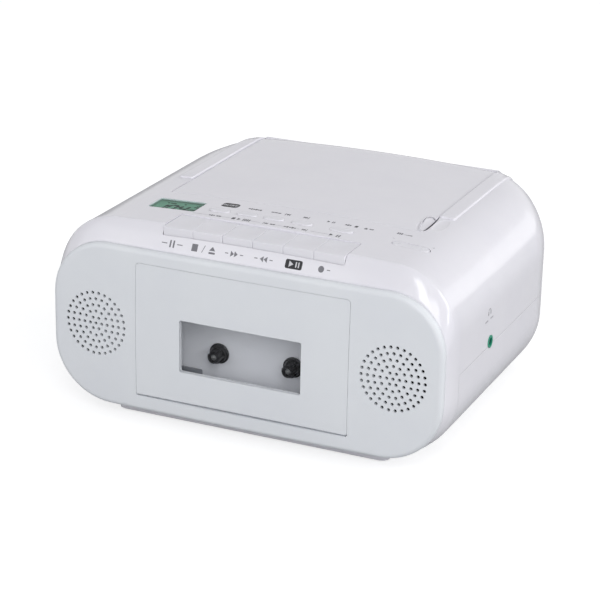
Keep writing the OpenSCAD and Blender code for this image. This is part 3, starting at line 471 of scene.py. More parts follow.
def prism(outline, axis, a, b, name="cut"):
    """Outline pushed along an axis. The outline is (x, y) for z, (x, z) for y and (y, z) for x."""
    put = {"z": lambda p, h: (p[0], p[1], h), "y": lambda p, h: (p[0], h, p[1]), "x": lambda p, h: (h, p[0], p[1])}[axis]
    n = len(outline)
    v = [put(p, a) for p in outline] + [put(p, b) for p in outline]
    f = [(i, (i + 1) % n, n + (i + 1) % n, n + i) for i in range(n)] + [tuple(range(n)), tuple(range(n, 2 * n))]
    return fix(mesh_obj(name, v, f))


def circle(cx, cz, r, n=32, turn=0.0):
    return [(cx + r * math.cos(2 * math.pi * i / n + turn), cz + r * math.sin(2 * math.pi * i / n + turn)) for i in range(n)]


def turned(name, profile, axis, at, n=48):
    """Solid of revolution: profile of (radius, distance along the axis), closed where the radius is 0."""
    ax = {"x": 0, "y": 1, "z": 2}[axis]
    v, f, rings = [], [], []
    for r, h in profile:
        if r < 1e-6:
            p = list(at)
            p[ax] = h
            rings.append([len(v)])
            v.append(p)
        else:
            ring = []
            for i in range(n):
                c, s = math.cos(2 * math.pi * i / n), math.sin(2 * math.pi * i / n)
                p = list(at)
                p[ax] = h
                p[(ax + 1) % 3] += r * c
                p[(ax + 2) % 3] += r * s
                ring.append(len(v))
                v.append(p)
            rings.append(ring)
    for a, b in zip(rings, rings[1:]):
        for i in range(n):
            j = (i + 1) % n
            if len(a) == 1 and len(b) == 1:
                continue
            if len(a) == 1:
                f.append((a[0], b[i], b[j]))
            elif len(b) == 1:
                f.append((a[i], a[j], b[0]))
            else:
                f.append((a[i], a[j], b[j], b[i]))
    if len(rings[0]) > 1 and len(rings[-1]) > 1:
        for i in range(n):
            j = (i + 1) % n
            f.append((rings[-1][i], rings[-1][j], rings[0][j], rings[0][i]))
    return fix(mesh_obj(name, v, f))


def ball(cx, cy, cz, r, sx=1, sy=1, sz=1, n=48):
    bm = bmesh.new()
    bmesh.ops.create_uvsphere(bm, u_segments=n, v_segments=n // 2, radius=r)
    bmesh.ops.scale(bm, vec=(sx, sy, sz), verts=bm.verts)
    bmesh.ops.translate(bm, vec=(cx, cy, cz), verts=bm.verts)
    me = bpy.data.meshes.new("cut")
    bm.to_mesh(me)
    bm.free()
    o = bpy.data.objects.new("cut", me)
    COLL.objects.link(o)
    return o


def patch(name, outline, zf, r=0.4, z_low=0.0, centre=None, rings=10, steps=4, xr=1.0):
    """Solid with a shaped top: an outline with a rounded edge of radius r, its height from zf(x, y), closed below at z_low."""
    n = len(outline)
    cx = sum(p[0] for p in outline) / n if centre is None else centre[0]
    cy = sum(p[1] for p in outline) / n if centre is None else centre[1]
    nrm = []
    for i in range(n):
        a, b = outline[i - 1], outline[(i + 1) % n]
        d = Vector((b[0] - a[0], b[1] - a[1]))
        d.normalize()
        nrm.append((-d.y, d.x))
    loops = []
    loops.append([(p[0], p[1], z_low(p[0], p[1]) if callable(z_low) else z_low) for p in outline])
    for s in range(steps + 1):
        a = math.pi / 2 * s / steps
        off, drop = r * (1 - math.cos(a)), r * (1 - math.sin(a))
        loops.append([(p[0] + q[0] * off, p[1] + q[1] * off,
                       zf(p[0] + q[0] * off, p[1] + q[1] * off) - drop) for p, q in zip(outline, nrm)])
    last = loops[-1]
    for k in range(1, rings):
        u = 1 - k / rings
        loops.append([(cx + (p[0] - cx) * u, cy + (p[1] - cy) * u,
                       zf(cx + (p[0] - cx) * u, cy + (p[1] - cy) * u)) for p in last])
    v = [p for lp in loops for p in lp]
    f = []
    for j in range(len(loops) - 1):
        for i in range(n):
            a, b = j * n + i, j * n + (i + 1) % n
            f.append((a, b, b + n, a + n))
    c = len(v)
    v.append((cx, cy, zf(cx, cy)))
    j = len(loops) - 1
    f += [(j * n + i, j * n + (i + 1) % n, c) for i in range(n)]
    f.append(tuple(range(n)))
    return fix(mesh_obj(name, v, f))


def cut(o, cutters, op="DIFFERENCE"):
    """Applies one exact boolean with all cutters."""
    coll = bpy.data.collections.new("cutters")
    COLL.children.link(coll)
    for c in cutters:
        for u in list(c.users_collection):
            u.objects.unlink(c)
        coll.objects.link(c)
    m = o.modifiers.new("b", "BOOLEAN")
    m.operation, m.solver, m.operand_type, m.collection = op, "EXACT", "COLLECTION", coll
    if op == "INTERSECT":
        m.operand_type = "OBJECT"
        m.object = cutters[0]
    bpy.context.view_layer.update()
    dg = bpy.context.evaluated_depsgraph_get()
    me = bpy.data.meshes.new_from_object(o.evaluated_get(dg))
    o.modifiers.clear()
    old = o.data
    o.data = me
    bpy.data.meshes.remove(old)
    for c in list(cutters):
        d = c.data
        bpy.data.objects.remove(c)
        if d.users == 0:
            bpy.data.meshes.remove(d)
    COLL.children.unlink(coll)
    bpy.data.collections.remove(coll)
    return o


def copy_of(o):
    c = bpy.data.objects.new(o.name, o.data.copy())
    COLL.objects.link(c)
    return c


def base_of(o):
    """Smooth normals of a shape before it is cut."""
    me = o.data
    me.calc_loop_triangles()
    tris = [tuple(t.vertices) for t in me.loop_triangles]
    co = [v.co.copy() for v in me.vertices]
    bm = bmesh.new()
    bm.from_mesh(me)
    bm.normal_update()
    nr = [v.normal.copy() for v in bm.verts]
    bm.free()
    return BVHTree.FromPolygons(co, tris), co, tris, nr


def lend_normals(o, bases, reach=0.03, angle=24):
    """Gives a cut mesh the smooth normals that its surfaces had before the cut."""
    me = o.data
    lim = math.cos(math.radians(angle))
    vn = {}
    out = [None] * len(me.loops)
    near = {}
    for p in me.polygons:
        for li in p.loop_indices:
            vi = me.loops[li].vertex_index
            if vi not in near:
                c = me.vertices[vi].co
                got = []
                for bvh, co, tris, nr in bases:
                    loc, nn, ti, d = bvh.find_nearest(c)
                    if loc is None or d > reach:
                        continue
                    a, b, cc = (co[k] for k in tris[ti])
                    ab, ac, ap = b - a, cc - a, loc - a
                    d00, d01, d11 = ab.dot(ab), ab.dot(ac), ac.dot(ac)
                    d20, d21 = ap.dot(ab), ap.dot(ac)
                    den = d00 * d11 - d01 * d01
                    if abs(den) < 1e-14:
                        nv = nn
                    else:
                        v = (d11 * d20 - d01 * d21) / den
                        w = (d00 * d21 - d01 * d20) / den
                        na, nb, nc = (nr[k] for k in tris[ti])
                        nv = (na * (1 - v - w) + nb * v + nc * w).normalized()
                    got.append(nv)
                near[vi] = got
            best, bd = None, lim
            for nv in near[vi]:
                for q in (nv, -nv):
                    dd = q.dot(p.normal)
                    if dd > bd:
                        best, bd = q, dd
            out[li] = tuple(best) if best is not None else tuple(p.normal)
    me.polygons.foreach_set("use_smooth", [True] * len(me.polygons))
    me.normals_split_custom_set(out)


def smooth(o, angle=38):
    me = o.data
    me.polygons.foreach_set("use_smooth", [True] * len(me.polygons))
    me.set_sharp_from_angle(angle=math.radians(angle))
    return o


def join(name, objs):
    """Joins meshes into one new object and removes the originals."""
    bm = bmesh.new()
    for o in objs:
        bm.from_mesh(o.data)
    me = bpy.data.meshes.new(name)
    bm.to_mesh(me)
    bm.free()
    r = bpy.data.objects.new(name, me)
    COLL.objects.link(r)
    for o in objs:
        d = o.data
        bpy.data.objects.remove(o)
        if d.users == 0:
            bpy.data.meshes.remove(d)
    return r


def piece(o, name, body, mats, replaces=(), shade=38):
    """Moves a finished shape into the row frame and makes it ride on its body."""
    if shade:
        smooth(o, shade)
    o.name = name
    o.data.name = name
    o.data.transform(TO_M)
    o.data.update()
    if mats:
        o.data.materials.clear()
        for m in mats if isinstance(mats, (list, tuple)) else [mats]:
            o.data.materials.append(m)
    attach(o, body)
    if replaces:
        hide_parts(*replaces)
    return o


# ------------------------------------------------------------------ cabinet


def body_rows(o):
    rows, secs, bends = [], [], []
    if o == 0:
        ys = [4.1 + 8.4 * i / 12 for i in range(11)] + [11.6, 11.9, 12.2, 12.5, 12.8, 13.1, 13.6, 14.4, 16, 18, 20]
    else:
        ys = [4.1 + (3.0 - 4.1) * 0 - 1.1, 8, 12.5, 17]
    for y in ys:
        s, b = band(max(y, 4.1), o)
        rows.append(y)
        secs.append(sec(*s))
        bends.append(b)
    rest = [22, 50, 80, 110, 145] + [145 + 59.2 * math.sin(math.radians(u * 90 / 20)) - u / 20 * o for u in range(1, 21)]
    for y in rest:
        rows.append(y)
        secs.append(bsec(y, o))
        bends.append(0)
    return rows, secs, bends


def outer():
    return loft("outer", *body_rows(0))


def cavity():
    return loft("cavity", *body_rows(2.5))


BTN = [(-32.5, 11.4), (-16.8, 11.4), (-1.4, 11.4), (14.6, 11.4), (36.8, 12.6)]
lcd_turn = Matrix.Translation((-58.25, 44.75, 57)) @ Matrix.Rotation(math.radians(-2.3), 4, "Y")


def upper_shell():
    o = outer()
    b0 = base_of(o)
    cav = cavity()
    b1 = base_of(cav)
    dish = ball(78.4, 79.2, 56.5, 4.4, 1, 2.4, 0.2, 96)
    b2 = base_of(dish)
    pad = prism(circle(62, 36, 8, 64), "y", 196.8, 204.9)
    cuts = [cav, dish,
            box(-130, 130, 22, 230, -80, -0.43),
            prism(rrect(-48.98, 52.86, 9.6, 31.1, 0.7, 5), "z", 40, 70),
            prism([(52.76, 56.7), (52.76, 59), (54.4, 59), (53.7, 57.72)], "y", 9.4, 30.6),
            prism([(72.2, 66), (73.5, 66.5), (74.0, 70), (73.9, 79), (73.4, 86), (72.8, 90), (72.2, 92)], "z", 50, 62),
            prism(rrect(-72.35, 72.35, 63.78, 193.3, 1.8, 6), "z", 45, 80),
            box(-72.35, 72.35, 184, 193.3, 45, 80),
            prism(pill(65.36, 86.24, 38.34, 44.66, 12), "z", 50, 70),
            prism(circle(67.9, 1.6, 3.45, 48), "x", 100, 120),
            prism(rrect(29.7, 50.3, 18.7, 33.3, 1.4, 5), "y", 190, 215),
            prism(rrect(-74, 74, -36.3, 14.3, 2, 5), "y", 190, 215)]
    lcd = prism(rrect(-13.75, 13.75, -8.25, 8.25, 0.9, 5), "z", -13, 13)
    lcd.data.transform(lcd_turn)
    cuts.append(lcd)
    for c, w in BTN:
        cuts.append(prism(pill(c - w / 2 - 0.09, c + w / 2 + 0.09, 40.91, 46.09, 10), "z", 50, 70))
    cut(o, cuts)
    lend_normals(o, [b0, b1, b2])
    return o, pad


shell, pad = upper_shell()
piece(shell, "cabinet_upper_shell", "cabinet", M["cabinet"], ("upper_cabinet",), shade=None)
cut(pad, [prism(circle(62, 36, 5.2, 48), "y", 190, 215)])
piece(pad, "antenna_pad_ring", "cabinet", M["cabinet"])


def strip(s):
    x0, x1 = (72.5, 80.95) if s > 0 else (-80.95, -72.5)
    o = patch("strip", split(rrect(x0, x1, 91, 202.6, 1.1, 6), 2.5), lambda x, y: top_z(x, min(y, 204)) + 1.0, 0.7,
              lambda x, y: top_z(x, min(y, 204)) - 0.5, rings=8)
    return o


piece(join("s", [strip(1), strip(-1)]), "lid_side_strips", "cabinet", M["cabinet"])


def lower_shell():
    o = outer()
    b0 = base_of(o)
    cav = cavity()
    b1 = base_of(cav)
    cuts = [cav, box(-130, 130, -5, 22.25, -90, 90), box(-130, 130, -6, 230, -0.6, 91),
            prism(rrect(-74, 74, -36.3, 14.3, 2, 5), "y", 190, 215),
            prism(circle(67.9, 1.6, 3.45, 48), "x", 100, 120)]
    for x in (-92, 92):
        for y in (40, 160):
            cuts.append(prism(circle(x, y, 3.6, 40), "z", -60, -30))
    cut(o, cuts)
    lend_normals(o, [b0, b1])
    return o


lower = lower_shell()
piece(lower, "cabinet_lower_shell", "cabinet", M["cabinet"], ("lower_cabinet",), shade=None)


def parting_lip():
    """Tongue behind the parting line."""
    o = loft("lip", *[r for r in body_rows(0.9)])
    inner = loft("lip2", *[r for r in body_rows(2.2)])
    cut(o, [inner, box(-140, 140, -20, 23.4, -90, 90, "c1"), box(-140, 140, -20, 240, 1.6, 92, "c2"),
            box(-140, 140, -21, 241, -93, -2.6, "c3"), prism(rrect(-75, 75, -36.3, 14.3, 2, 5), "y", 180, 216),
            prism(circle(67.9, 1.6, 4.2, 48), "x", 100, 120)])
    return o


piece(parting_lip(), "parting_tongue", "cabinet", M["inner"])


def plinth():
    parts = []
    wall = prism(rrect(-78, 78, 23.2, 168, 4, 8), "z", -50.4, -44.6)
    cut(wall, [prism(rrect(-75.4, 75.4, 25.8, 165.4, 2, 6), "z", -60, -40)])
    parts.append(wall)
    front = [(-78, 26), (-78, 16.2), (-76.4, 13.9), (-73.6, 13), (73.6, 13), (76.4, 13.9), (78, 16.2), (78, 26)]
    bar = prism(front, "z", -51.5, -45.4)
    bev = bar.modifiers.new("v", "BEVEL")
    bev.width, bev.segments, bev.limit_method = 0.5, 3, "ANGLE"
    bpy.context.view_layer.update()
    me = bpy.data.meshes.new_from_object(bar.evaluated_get(bpy.context.evaluated_depsgraph_get()))
    bar.modifiers.clear()
    bar.data = me
    parts.append(bar)
    for x in (-66, 66):
        for y in (34, 156):
            parts.append(turned("boss", [(9.5, -45), (9.5, -50.1), (9.2, -50.4), (6.1, -50.4), (6.1, -49.5), (0, -49.5)],
                                "z", (x, y, 0), 40))
    for y in (60, 95, 130):
        parts.append(prism(rrect(-75.6, 75.6, y - 0.7, y + 0.7, 0.3, 2), "z", -48.2, -45.6))
    for x in (-38, 0, 38):
        parts.append(prism(rrect(x - 0.7, x + 0.7, 25.6, 165.6, 0.3, 2), "z", -48.2, -45.6))
    for x in (-92, 92):
        for y in (40, 160):
            parts.append(turned("well", [(3.6, -44.6), (3.6, -34.2), (1.8, -34), (1.8, -10), (5, -10), (5, -42)], "z", (x, y, 0), 36))
    return join("plinth", parts)


piece(plinth(), "cabinet_plinth", "cabinet", M["cabinet"])

# ------------------------------------------------------------------ front panel and door


def psec(o):
    return sec(110 - o, 45 - o, 45 - o, 31 - o, 33 - o, 0.2)


def face_solid(y_back, name="face"):
    rows, secs, bends = [], [], []
    s0 = psec(2.6)
    for k in (0.02, 0.12, 0.25, 0.38, 0.5, 0.62, 0.72, 0.81, 0.89, 0.95, 0.985):
        rows.append(0)
        secs.append([(x * k, z * k) for x, z in s0])
        bends.append(1)
    for i in range(9):
        a = math.pi / 2 * i / 8
        rows.append(2.4 * (1 - math.cos(a)))
        secs.append(psec(2.6 * (1 - math.sin(a))))
        bends.append(1)
    rows.append(y_back)
    secs.append(psec(0))
    bends.append(1)
    o = loft(name, rows, secs, bends)
    o.data.transform(Matrix.Translation((0, 0.06, 0)))
    return o


def core_solid(o):
    s = psec(o)
    return loft("core", [o, o, o, 12], [[(x * 0.03, z * 0.03) for x, z in s], [(x * 0.5, z * 0.5) for x, z in s], s, s],
                [1, 1, 1, 1])


def door_rim(name="rim"):
    """Opening for the door."""
    return prism(split(rrect(-60.3, 60.3, -36.38, 37.9, 2.2, 8), 6), "y", -6, 20)


def grille_cut(s):
    v, f = [], []
    n = 18
    pts = [(0.0, 0.0)]
    for k in range(1, 6):
        for i in range(6 * k):
            a = math.radians(60 * i / k)
            pts.append((k * 3.4 * math.cos(a), k * 3.4 * math.sin(a)))
    for px, pz in pts:
        c = circle(s * 84.1 + px, pz, 0.88, n)
        b = len(v)
        v += [(x, -2, z) for x, z in c] + [(x, 8, z) for x, z in c]
        f += [(b + i, b + (i + 1) % n, b + n + (i + 1) % n, b + n + i) for i in range(n)]
        f += [tuple(range(b, b + n)), tuple(range(b + n, b + 2 * n))]
    return fix(mesh_obj("holes", v, f))


def panel():
    o = face_solid(3.85)
    b0 = base_of(o)
    core = core_solid(2.5)
    b1 = base_of(core)
    wells = [prism(circle(q * 84.1, 0, 18.6, 72), "y", 2.8, 9) for q in (-1, 1)]
    wells.append(prism(split(rrect(-60.3, 60.3, -36.38, -30, 0.9, 4), 6), "y", -6, 20))
    cut(o, [core, door_rim(), grille_cut(1), grille_cut(-1)] + wells)
    lend_normals(o, [b0, b1])
    return o


front = panel()
piece(front, "front_panel_face", "cabinet", M["panel"], ("front_panel",), shade=None)


def panel_return():
    """Rim behind the panel face, which plugs into the cabinet, and the frame round the door opening."""
    ring = loft("ring", [2.5, 9], [psec(2.85), psec(2.85)], [1, 0.4])
    cut(ring, [loft("r2", [1.5, 12], [psec(4.8), psec(4.8)], [1, 0.4]), box(-66, 66, -5, 20, -60, 0)])
    frame_ = prism(split(rrect(-61.6, 61.6, -38.2, 39.2, 3.2, 8), 6), "y", 2.9, 9.5)
    cut(frame_, [prism(split(rrect(-60.42, 60.42, -36.75, 38.02, 2.3, 8), 6), "y", -6, 20)])
    parts = [ring, frame_]
    for s in (-1, 1):
        b = box(60.9 if s > 0 else -64.9, 64.9 if s > 0 else -60.9, 2.0, 7.2, -36.5, -28.7)
        cut(b, [prism(circle(3.4, -32.5, 1.26, 32), "x", -70, 70)])
        parts.append(b)
        for z in (-24, 34):
            parts.append(turned("post", [(2.4, 2.9), (2.4, 21.3), (1.15, 21.3), (1.15, 12), (0, 12)], "y", (s * 63.5, 0, z), 32))
    return join("ret", parts)


piece(panel_return(), "front_panel_returns", "cabinet", M["panel"])


def door():
    o = face_solid(5.0)
    b0 = base_of(o)
    blank = prism(split(rrect(-60.16, 60.16, -36.26, 37.77, 2.06, 8), 8), "y", -3, 6)
    cut(o, [blank], "INTERSECT")
    lower_edge = prism([(-3, -40), (-3, -32.5)] + arc(3.4, -32.5, 3.6, 180, 270, 10) + [(3.4, -40)], "x", -80, 80)
    core = core_solid(2.6)
    b1 = base_of(core)
    win = prism(rrect(-34.4, 34.4, -18.1, 10.7, 0.9, 5), "y", -3, 9)
    behind = prism(rrect(-36.6, 34.9, -20.2, 11.2, 0.9, 5), "y", 0.75, 9)
    cut(o, [core, lower_edge, win, behind])
    lend_normals(o, [b0, b1])
    return o


door_o = door()
piece(door_o, "cassette_door_face", "tape_door", M["panel"], ("cassette_door",), shade=None)


def door_back():
    fr = prism(split(rrect(-58.9, 58.9, -32.5, 36.4, 1.5, 6), 6), "y", 2.55, 4.4)
    cut(fr, [prism(rrect(-46, 46, -22, 14.6, 1, 5), "y", 1, 6)])
    parts = [fr]
    for s in (-1, 1):
        a, b = (54, 60.1) if s > 0 else (-60.1, -54)
        parts.append(turned("knuckle", [(0, a), (2.0, a), (2.2, a + 0.2), (2.2, b - 0.2), (2.0, b), (0, b)], "x", (0, 3.4, -32.5), 32))
        a, b = (60, 64.5) if s > 0 else (-64.5, -60)
        parts.append(turned("pin", [(0, a), (1.2, a), (1.2, b), (0, b)], "x", (0, 3.4, -32.5), 32))
    for x in (-40, -20, 0, 20, 40):
        parts.append(prism(rrect(x - 0.5, x + 0.5, 15.4, 35.8, 0.3, 2), "y", 2.5, 4.3))
    # ledge that holds the window
    led = prism(rrect(-38.4, 38.4, -21.6, 14.4, 1.4, 5), "y", 2.5, 3.5)
    cut(led, [prism(rrect(-34.6, 34.6, -18.3, 10.9, 0.9, 5), "y", 1, 6)])
    parts.append(led)
    return join("db", parts)


piece(door_back(), "cassette_door_frame", "tape_door", M["panel"])


def lens():
    o = prism(rrect(-37, 37, -20.5, 13.2, 0.9, 6), "y", 3.55, 4.15)
    return o


lens_o = piece(lens(), "cassette_door_window", "tape_door", M["door_glass"], ("door_lens",))

# ------------------------------------------------------------------ disc lid


def lid_z(x, y):
    z = top_z(x, y)
    return z


def lid():
    o = patch("lid", split(rrect(-72, 72, 64, 187.6, 1.6, 6), 2.4), lid_z, 0.35, lambda x, y: top_z(x, y) - 2.2,
              centre=(0, 126), rings=26, steps=3)
    b0 = base_of(o)
    scoop = ball(72.2, 76.5, 57.25, 6.4, 1, 1.95, 0.27, 96)
    b1 = base_of(scoop)
    ring = prism(split(NOTCH, 1.5), "z", 55.9, 62)
    cut(ring, [prism([(71.1 + (x - 71.1) * 0.87, 77 + (y - 77) * 0.94) for x, y in NOTCH[:-1]] + [(76, 80)], "z", 50, 70)])
    swing = prism([(188.6, 52.5), (184.0, 58.77), (192, 58.77), (192, 52.5)], "x", -60, 60)
    cut(o, [scoop, ring, swing])
    lend_normals(o, [b0, b1], angle=50)
    rim = prism([(71.4 + (x - 71.4) * 1.15, 77 + (y - 77) * 1.05) for x, y in NOTCH], "z", 56.2, 56.93)
    cut(rim, [prism(NOTCH, "z", 50, 60), box(71.98, 80, 50, 100, 50, 60)])
    smooth(rim, 30)
    return o, rim


NOTCH = [(74, 64.8), (71.0, 65.4), (70.0, 68.5), (68.8, 73), (67.6, 78), (66.8, 82.5), (66.7, 86), (67.7, 88.2), (69.6, 88.4), (71.2, 87), (74, 84)]
lid_o, lid_rim = lid()
piece(lid_rim, "disc_lid_notch_rim", "disc_lid", M["cabinet"])
piece(lid_o, "disc_lid_top", "disc_lid", M["cabinet"], ("cd_lid",), shade=None)


def lid_under():
    """Rim, hinge nose, ears, pins and the disc clamp below the lid."""
    parts = []
    rim = prism(split(rrect(-70.8, 70.8, 65.2, 184, 1.4, 5), 4), "z", 51.2, 55.6)
    cut(rim, [prism(split(rrect(-69.2, 69.2, 66.8, 182.4, 1, 5), 4), "z", 50, 62)])
    parts.append(rim)
    nose = prism(arc(187.5, 49.5, 5.55, 90, 15, 10) + arc(187.5, 49.5, 3.4, 15, 90, 10), "x", -71.9, 71.9)
    parts.append(nose)
    web = prism([(185.2, 53.2), (188.4, 53.2), (188.4, 54.9), (187.4, 55.7), (185.2, 55.7)], "x", -71.9, 71.9)
    parts.append(web)
    for s in (-1, 1):
        a, b = (60, 63) if s > 0 else (-63, -60)
        parts.append(prism([(182.4, 50.1), (187.5, 46.6), (190.4, 48.6), (190.4, 50.6), (188.6, 53.4), (182.4, 55.6)], "x", a, b))
        a, b = (62.9, 66) if s > 0 else (-66, -62.9)
        parts.append(turned("pin", [(0, a), (1.5, a), (1.5, b), (0, b)], "x", (0, 187.5, 49.5), 24))
    clamp = turned("clamp", [(15.2, 55.4), (15.2, 53.2), (14.6, 52.8), (9.4, 52.8), (8.6, 53.6), (8.6, 54.6), (0, 54.6), (0, 55.4)],
                   "z", (0, 127.5, 0), 64)
    parts.append(clamp)
    for a in range(0, 360, 60):
        c, s_ = math.cos(math.radians(a)), math.sin(math.radians(a))
        w = 0.6
        p = [(c * 15 - s_ * w, s_ * 15 + c * w), (c * 46 - s_ * w, s_ * 46 + c * w), (c * 46 + s_ * w, s_ * 46 - c * w), (c * 15 + s_ * w, s_ * 15 - c * w)]
        parts.append(prism([(x, y + 127.5) for x, y in p], "z", 53.6, 55.4))
    return join("lu", parts)


piece(lid_under(), "disc_lid_underside", "disc_lid", M["cabinet"])

# ------------------------------------------------------------------ keys and buttons

KEYS = ["key_pause", "key_stop_eject", "key_forward", "key_rewind", "key_play", "key_record"]
KBODY = ["pause", "stop_eject", "forward", "rewind", "play", "record"]
KGAP = [0.12, 0.03, 0.11, 0.08, 0.06, 0.05, 0.08]
for i, (k, b) in enumerate(zip(KEYS, KBODY)):
    x0 = 2 + (i - 3) * 16.9 + KGAP[i]
    x1 = 2 + (i - 2) * 16.9 - KGAP[i + 1]
    c = 2 + (i - 2.5) * 16.9

    def kz(x, y, c=c):
        # shallow dish for the finger, and a soft fall towards the front edge
        u, v = (x - c) / 6.2, (y - 23.2) / 5.2
        h = 57.0 - 0.42 * math.exp(-(u * u + v * v) ** 1.5)
        return h - (0.34 * (1 - (y - 10.15) / 1.9) ** 2 if y < 12.05 else 0.0)

    top = patch("key", split(rrect(x0, x1, 10.15, 30.98, 0.3, 4), 0.9), kz, 0.3, 46.5, centre=(c, 21.5), rings=16, steps=4)
    hub = turned("hub", [(1.29, c - 3), (2.2, c - 3), (2.2, c + 3), (1.29, c + 3)], "x", (0, 36.5, 52.5), 24)
    arm = box(c - 2.5, c + 2.5, 26, 35.2, 50.6, 54.3)
    push = box(c - 2, c + 2, 13.2, 15.6, 45.75, 51)
    cut(top, [box(x0 + 1.6, x1 - 1.6, 12.2, 29.4, 40, 54.2), box(x0 - 1, x1 + 1, 12.6, 32, 40, 49.2)])
    piece(join("k", [top, hub, arm, push]), k + "_cap", b, M["key"], (k,))

BNAMES = ["button_power", "button_source", "button_back", "button_next", "button_disc_play"]
BBODY = ["power_button", "source_button", "back_button", "next_button", "disc_play_button"]
BTOP = [58.5, 58.7, 58.8, 58.7, 58.4]
for (c, w), k, b, h in zip(BTN, BNAMES, BBODY, BTOP):
    def bz(x, y, c=c, w=w, h=h):
        u = ((x - c) / (w / 2)) ** 2
        v = ((y - 43.5) / 2.5) ** 2
        return h - 0.1 * min(1, u) - 0.15 * min(1, v)

    h = min(h, top_z(c, 43.5) + 0.55)
    cap = patch("btn", split(pill(c - w / 2, c + w / 2, 41, 46, 9), 0.9), bz, 0.4, 54.7, rings=8, steps=4)
    skirt = prism(pill(c - w / 2 - 1, c + w / 2 + 1, 40.2, 46.8, 9), "z", 54, 54.8)
    stem = turned("stem", [(0, 52), (1.3, 52), (1.3, 54.1), (0, 54.1)], "z", (c, 43.5, 0), 24)
    piece(join("b", [cap, skirt, stem]), k + "_cap", b, M["key"], (k,))


def rocker():
    def rz(x, y):
        # top following the deck's crown, dished in the middle
        u = (x - 75.8) / 10
        z = top_z(x, 41.5) + 0.16
        return z - 0.2 * math.exp(-(u * 2.4) ** 2) - 0.1 * ((y - 41.5) / 3.1) ** 2

    o = patch("rk", split(pill(65.8, 85.8, 38.4, 44.6, 9), 0.9), rz, 0.5, lambda x, y: 52.2 - math.tan(math.radians(5)) * (x - 75.8),
              rings=14, steps=4)
    hub = turned("hub", [(1.05, 38.4), (1.8, 38.4), (1.8, 44.6), (1.05, 44.6)], "y", (75.8, 0, 52.2), 24)
    # raised tactile bar at each end
    bars = []
    for s in (-1, 1):
        xc = 75.8 + s * 6.6
        bars.append(patch("bar", split(pill(xc - 1.5, xc + 1.5, 41.1, 41.9, 5), 0.4), lambda x, y: rz(x, y) + 0.12, 0.1,
                          lambda x, y: rz(x, y) - 0.2, rings=3, steps=2))
    xc = 75.8 + 6.6
    bars.append(patch("bar", split([(xc - 0.4, 40.0), (xc + 0.4, 40.0), (xc + 0.4, 43.0), (xc - 0.4, 43.0)], 0.4),
                      lambda x, y: rz(x, y) + 0.12, 0.08, lambda x, y: rz(x, y) - 0.2, rings=3, steps=2))
    return join("rk", [o, hub] + bars)


piece(rocker(), "volume_rocker_cap", "volume", M["key"], ("volume_rocker",))

# ------------------------------------------------------------------ display

SEG = {"a": ((0, 1), (1, 1)), "b": ((1, 1), (1, .5)), "c": ((1, .5), (1, 0)), "d": ((0, 0), (1, 0)), "e": ((0, .5), (0, 0)),
       "f": ((0, 1), (0, .5)), "g": ((0, .5), (1, .5))}
DIGITS = {"0": "abcdef", "1": "bc", "2": "abged", "4": "fgbc"}


def flat_polys(name, polys, put):
    """Thin printed shapes: each polygon is a small raised sheet placed by put(x, y, lift)."""
    v, f = [], []
    for p in polys:
        b = len(v)
        n = len(p)
        v += [put(x, y, 0.05) for x, y in p] + [put(x, y, -0.08) for x, y in p]
        f.append(tuple(range(b, b + n)))
        f.append(tuple(range(b + 2 * n - 1, b + n - 1, -1)))
        f += [(b + i, b + (i + 1) % n, b + n + (i + 1) % n, b + n + i) for i in range(n)]
    return fix(mesh_obj(name, v, f))


def bar_seg(x0, y0, x1, y1, t):
    """One display segment: a bar with pointed ends."""
    d = Vector((x1 - x0, y1 - y0))
    L = d.length
    d.normalize()
    q = Vector((-d.y, d.x)) * t / 2
    a = Vector((x0, y0)) + d * t * 0.03
    b = Vector((x1, y1)) - d * t * 0.03
    e = d * t / 2
    return [tuple(a), tuple(a + e - q), tuple(b - e - q), tuple(b), tuple(b - e + q), tuple(a + e + q)]


def lcd_face():
    polys = []
    slant = 0.16
    w, h, y0 = 4.0, 9.0, -6.6
    for ch, x in zip("1042", (-11.6, -5.6, 1.1, 7.0)):
        for s in DIGITS[ch]:
            (a, b), (c, d) = SEG[s]
            p = bar_seg(x + a * w, y0 + b * h, x + c * w, y0 + d * h, 1.6)
            polys.append([(px + slant * (py - y0), py) for px, py in p])
    for y in (-3.6, 0.2):
        x = 0.1 + slant * (y - y0) - 0.4
        polys.append([(x - 0.5, y - 0.5), (x + 0.5, y - 0.5), (x + 0.5, y + 0.5), (x - 0.5, y + 0.5)])
    # small signs above the digits and a level bar at the right
    for x, ww in ((-8.4, 1.2), (-6.6, 3.4), (1.6, 1.2)):
        polys.append(rrect(x, x + ww, 4.6, 5.8, 0.2, 2))
    for k in range(4):
        polys.append(rrect(9.0 + k * 0.95, 9.7 + k * 0.95, 4.6, 5.2 + k * 0.3, 0.1, 2))
    put = lambda x, y, l: (x, y, -1.43 + (0.01 if l > 0 else -0.05))
    seg = flat_polys("seg", polys, put)
    return seg


def place_lcd(o):
    o.data.transform(Matrix.Translation((-58.25, 44.75, 57)) @ Matrix.Rotation(math.radians(-2.3), 4, "Y"))
    return o


seg = place_lcd(lcd_face())
piece(seg, "display_segments", "cabinet", M["lcd_ink"])
refl = prism(rrect(-13.2, 13.2, -7.7, 7.7, 0.4, 3), "z", -3.2, -1.49)
piece(place_lcd(refl), "display_reflector_plate", "cabinet", M["lcd"])
pane = prism(split(rrect(-13.6, 13.6, -8.1, 8.1, 0.8, 5), 4), "z", -0.75, -0.3)
piece(place_lcd(pane), "display_window_pane", "cabinet", M["lcd_glass"], ("lcd_window",))
# mask ring inside the display opening; its darker grey-green also paints the shade along the window's rim
lip = prism(rrect(-13.7, 13.7, -8.2, 8.2, 0.8, 5), "z", -2.4, -0.8)
cut(lip, [prism(rrect(-13.2, 13.2, -7.8, 7.8, 0.5, 5), "z", -6, 5)])
piece(place_lcd(lip), "display_mask", "cabinet", M["lcd_rim"])

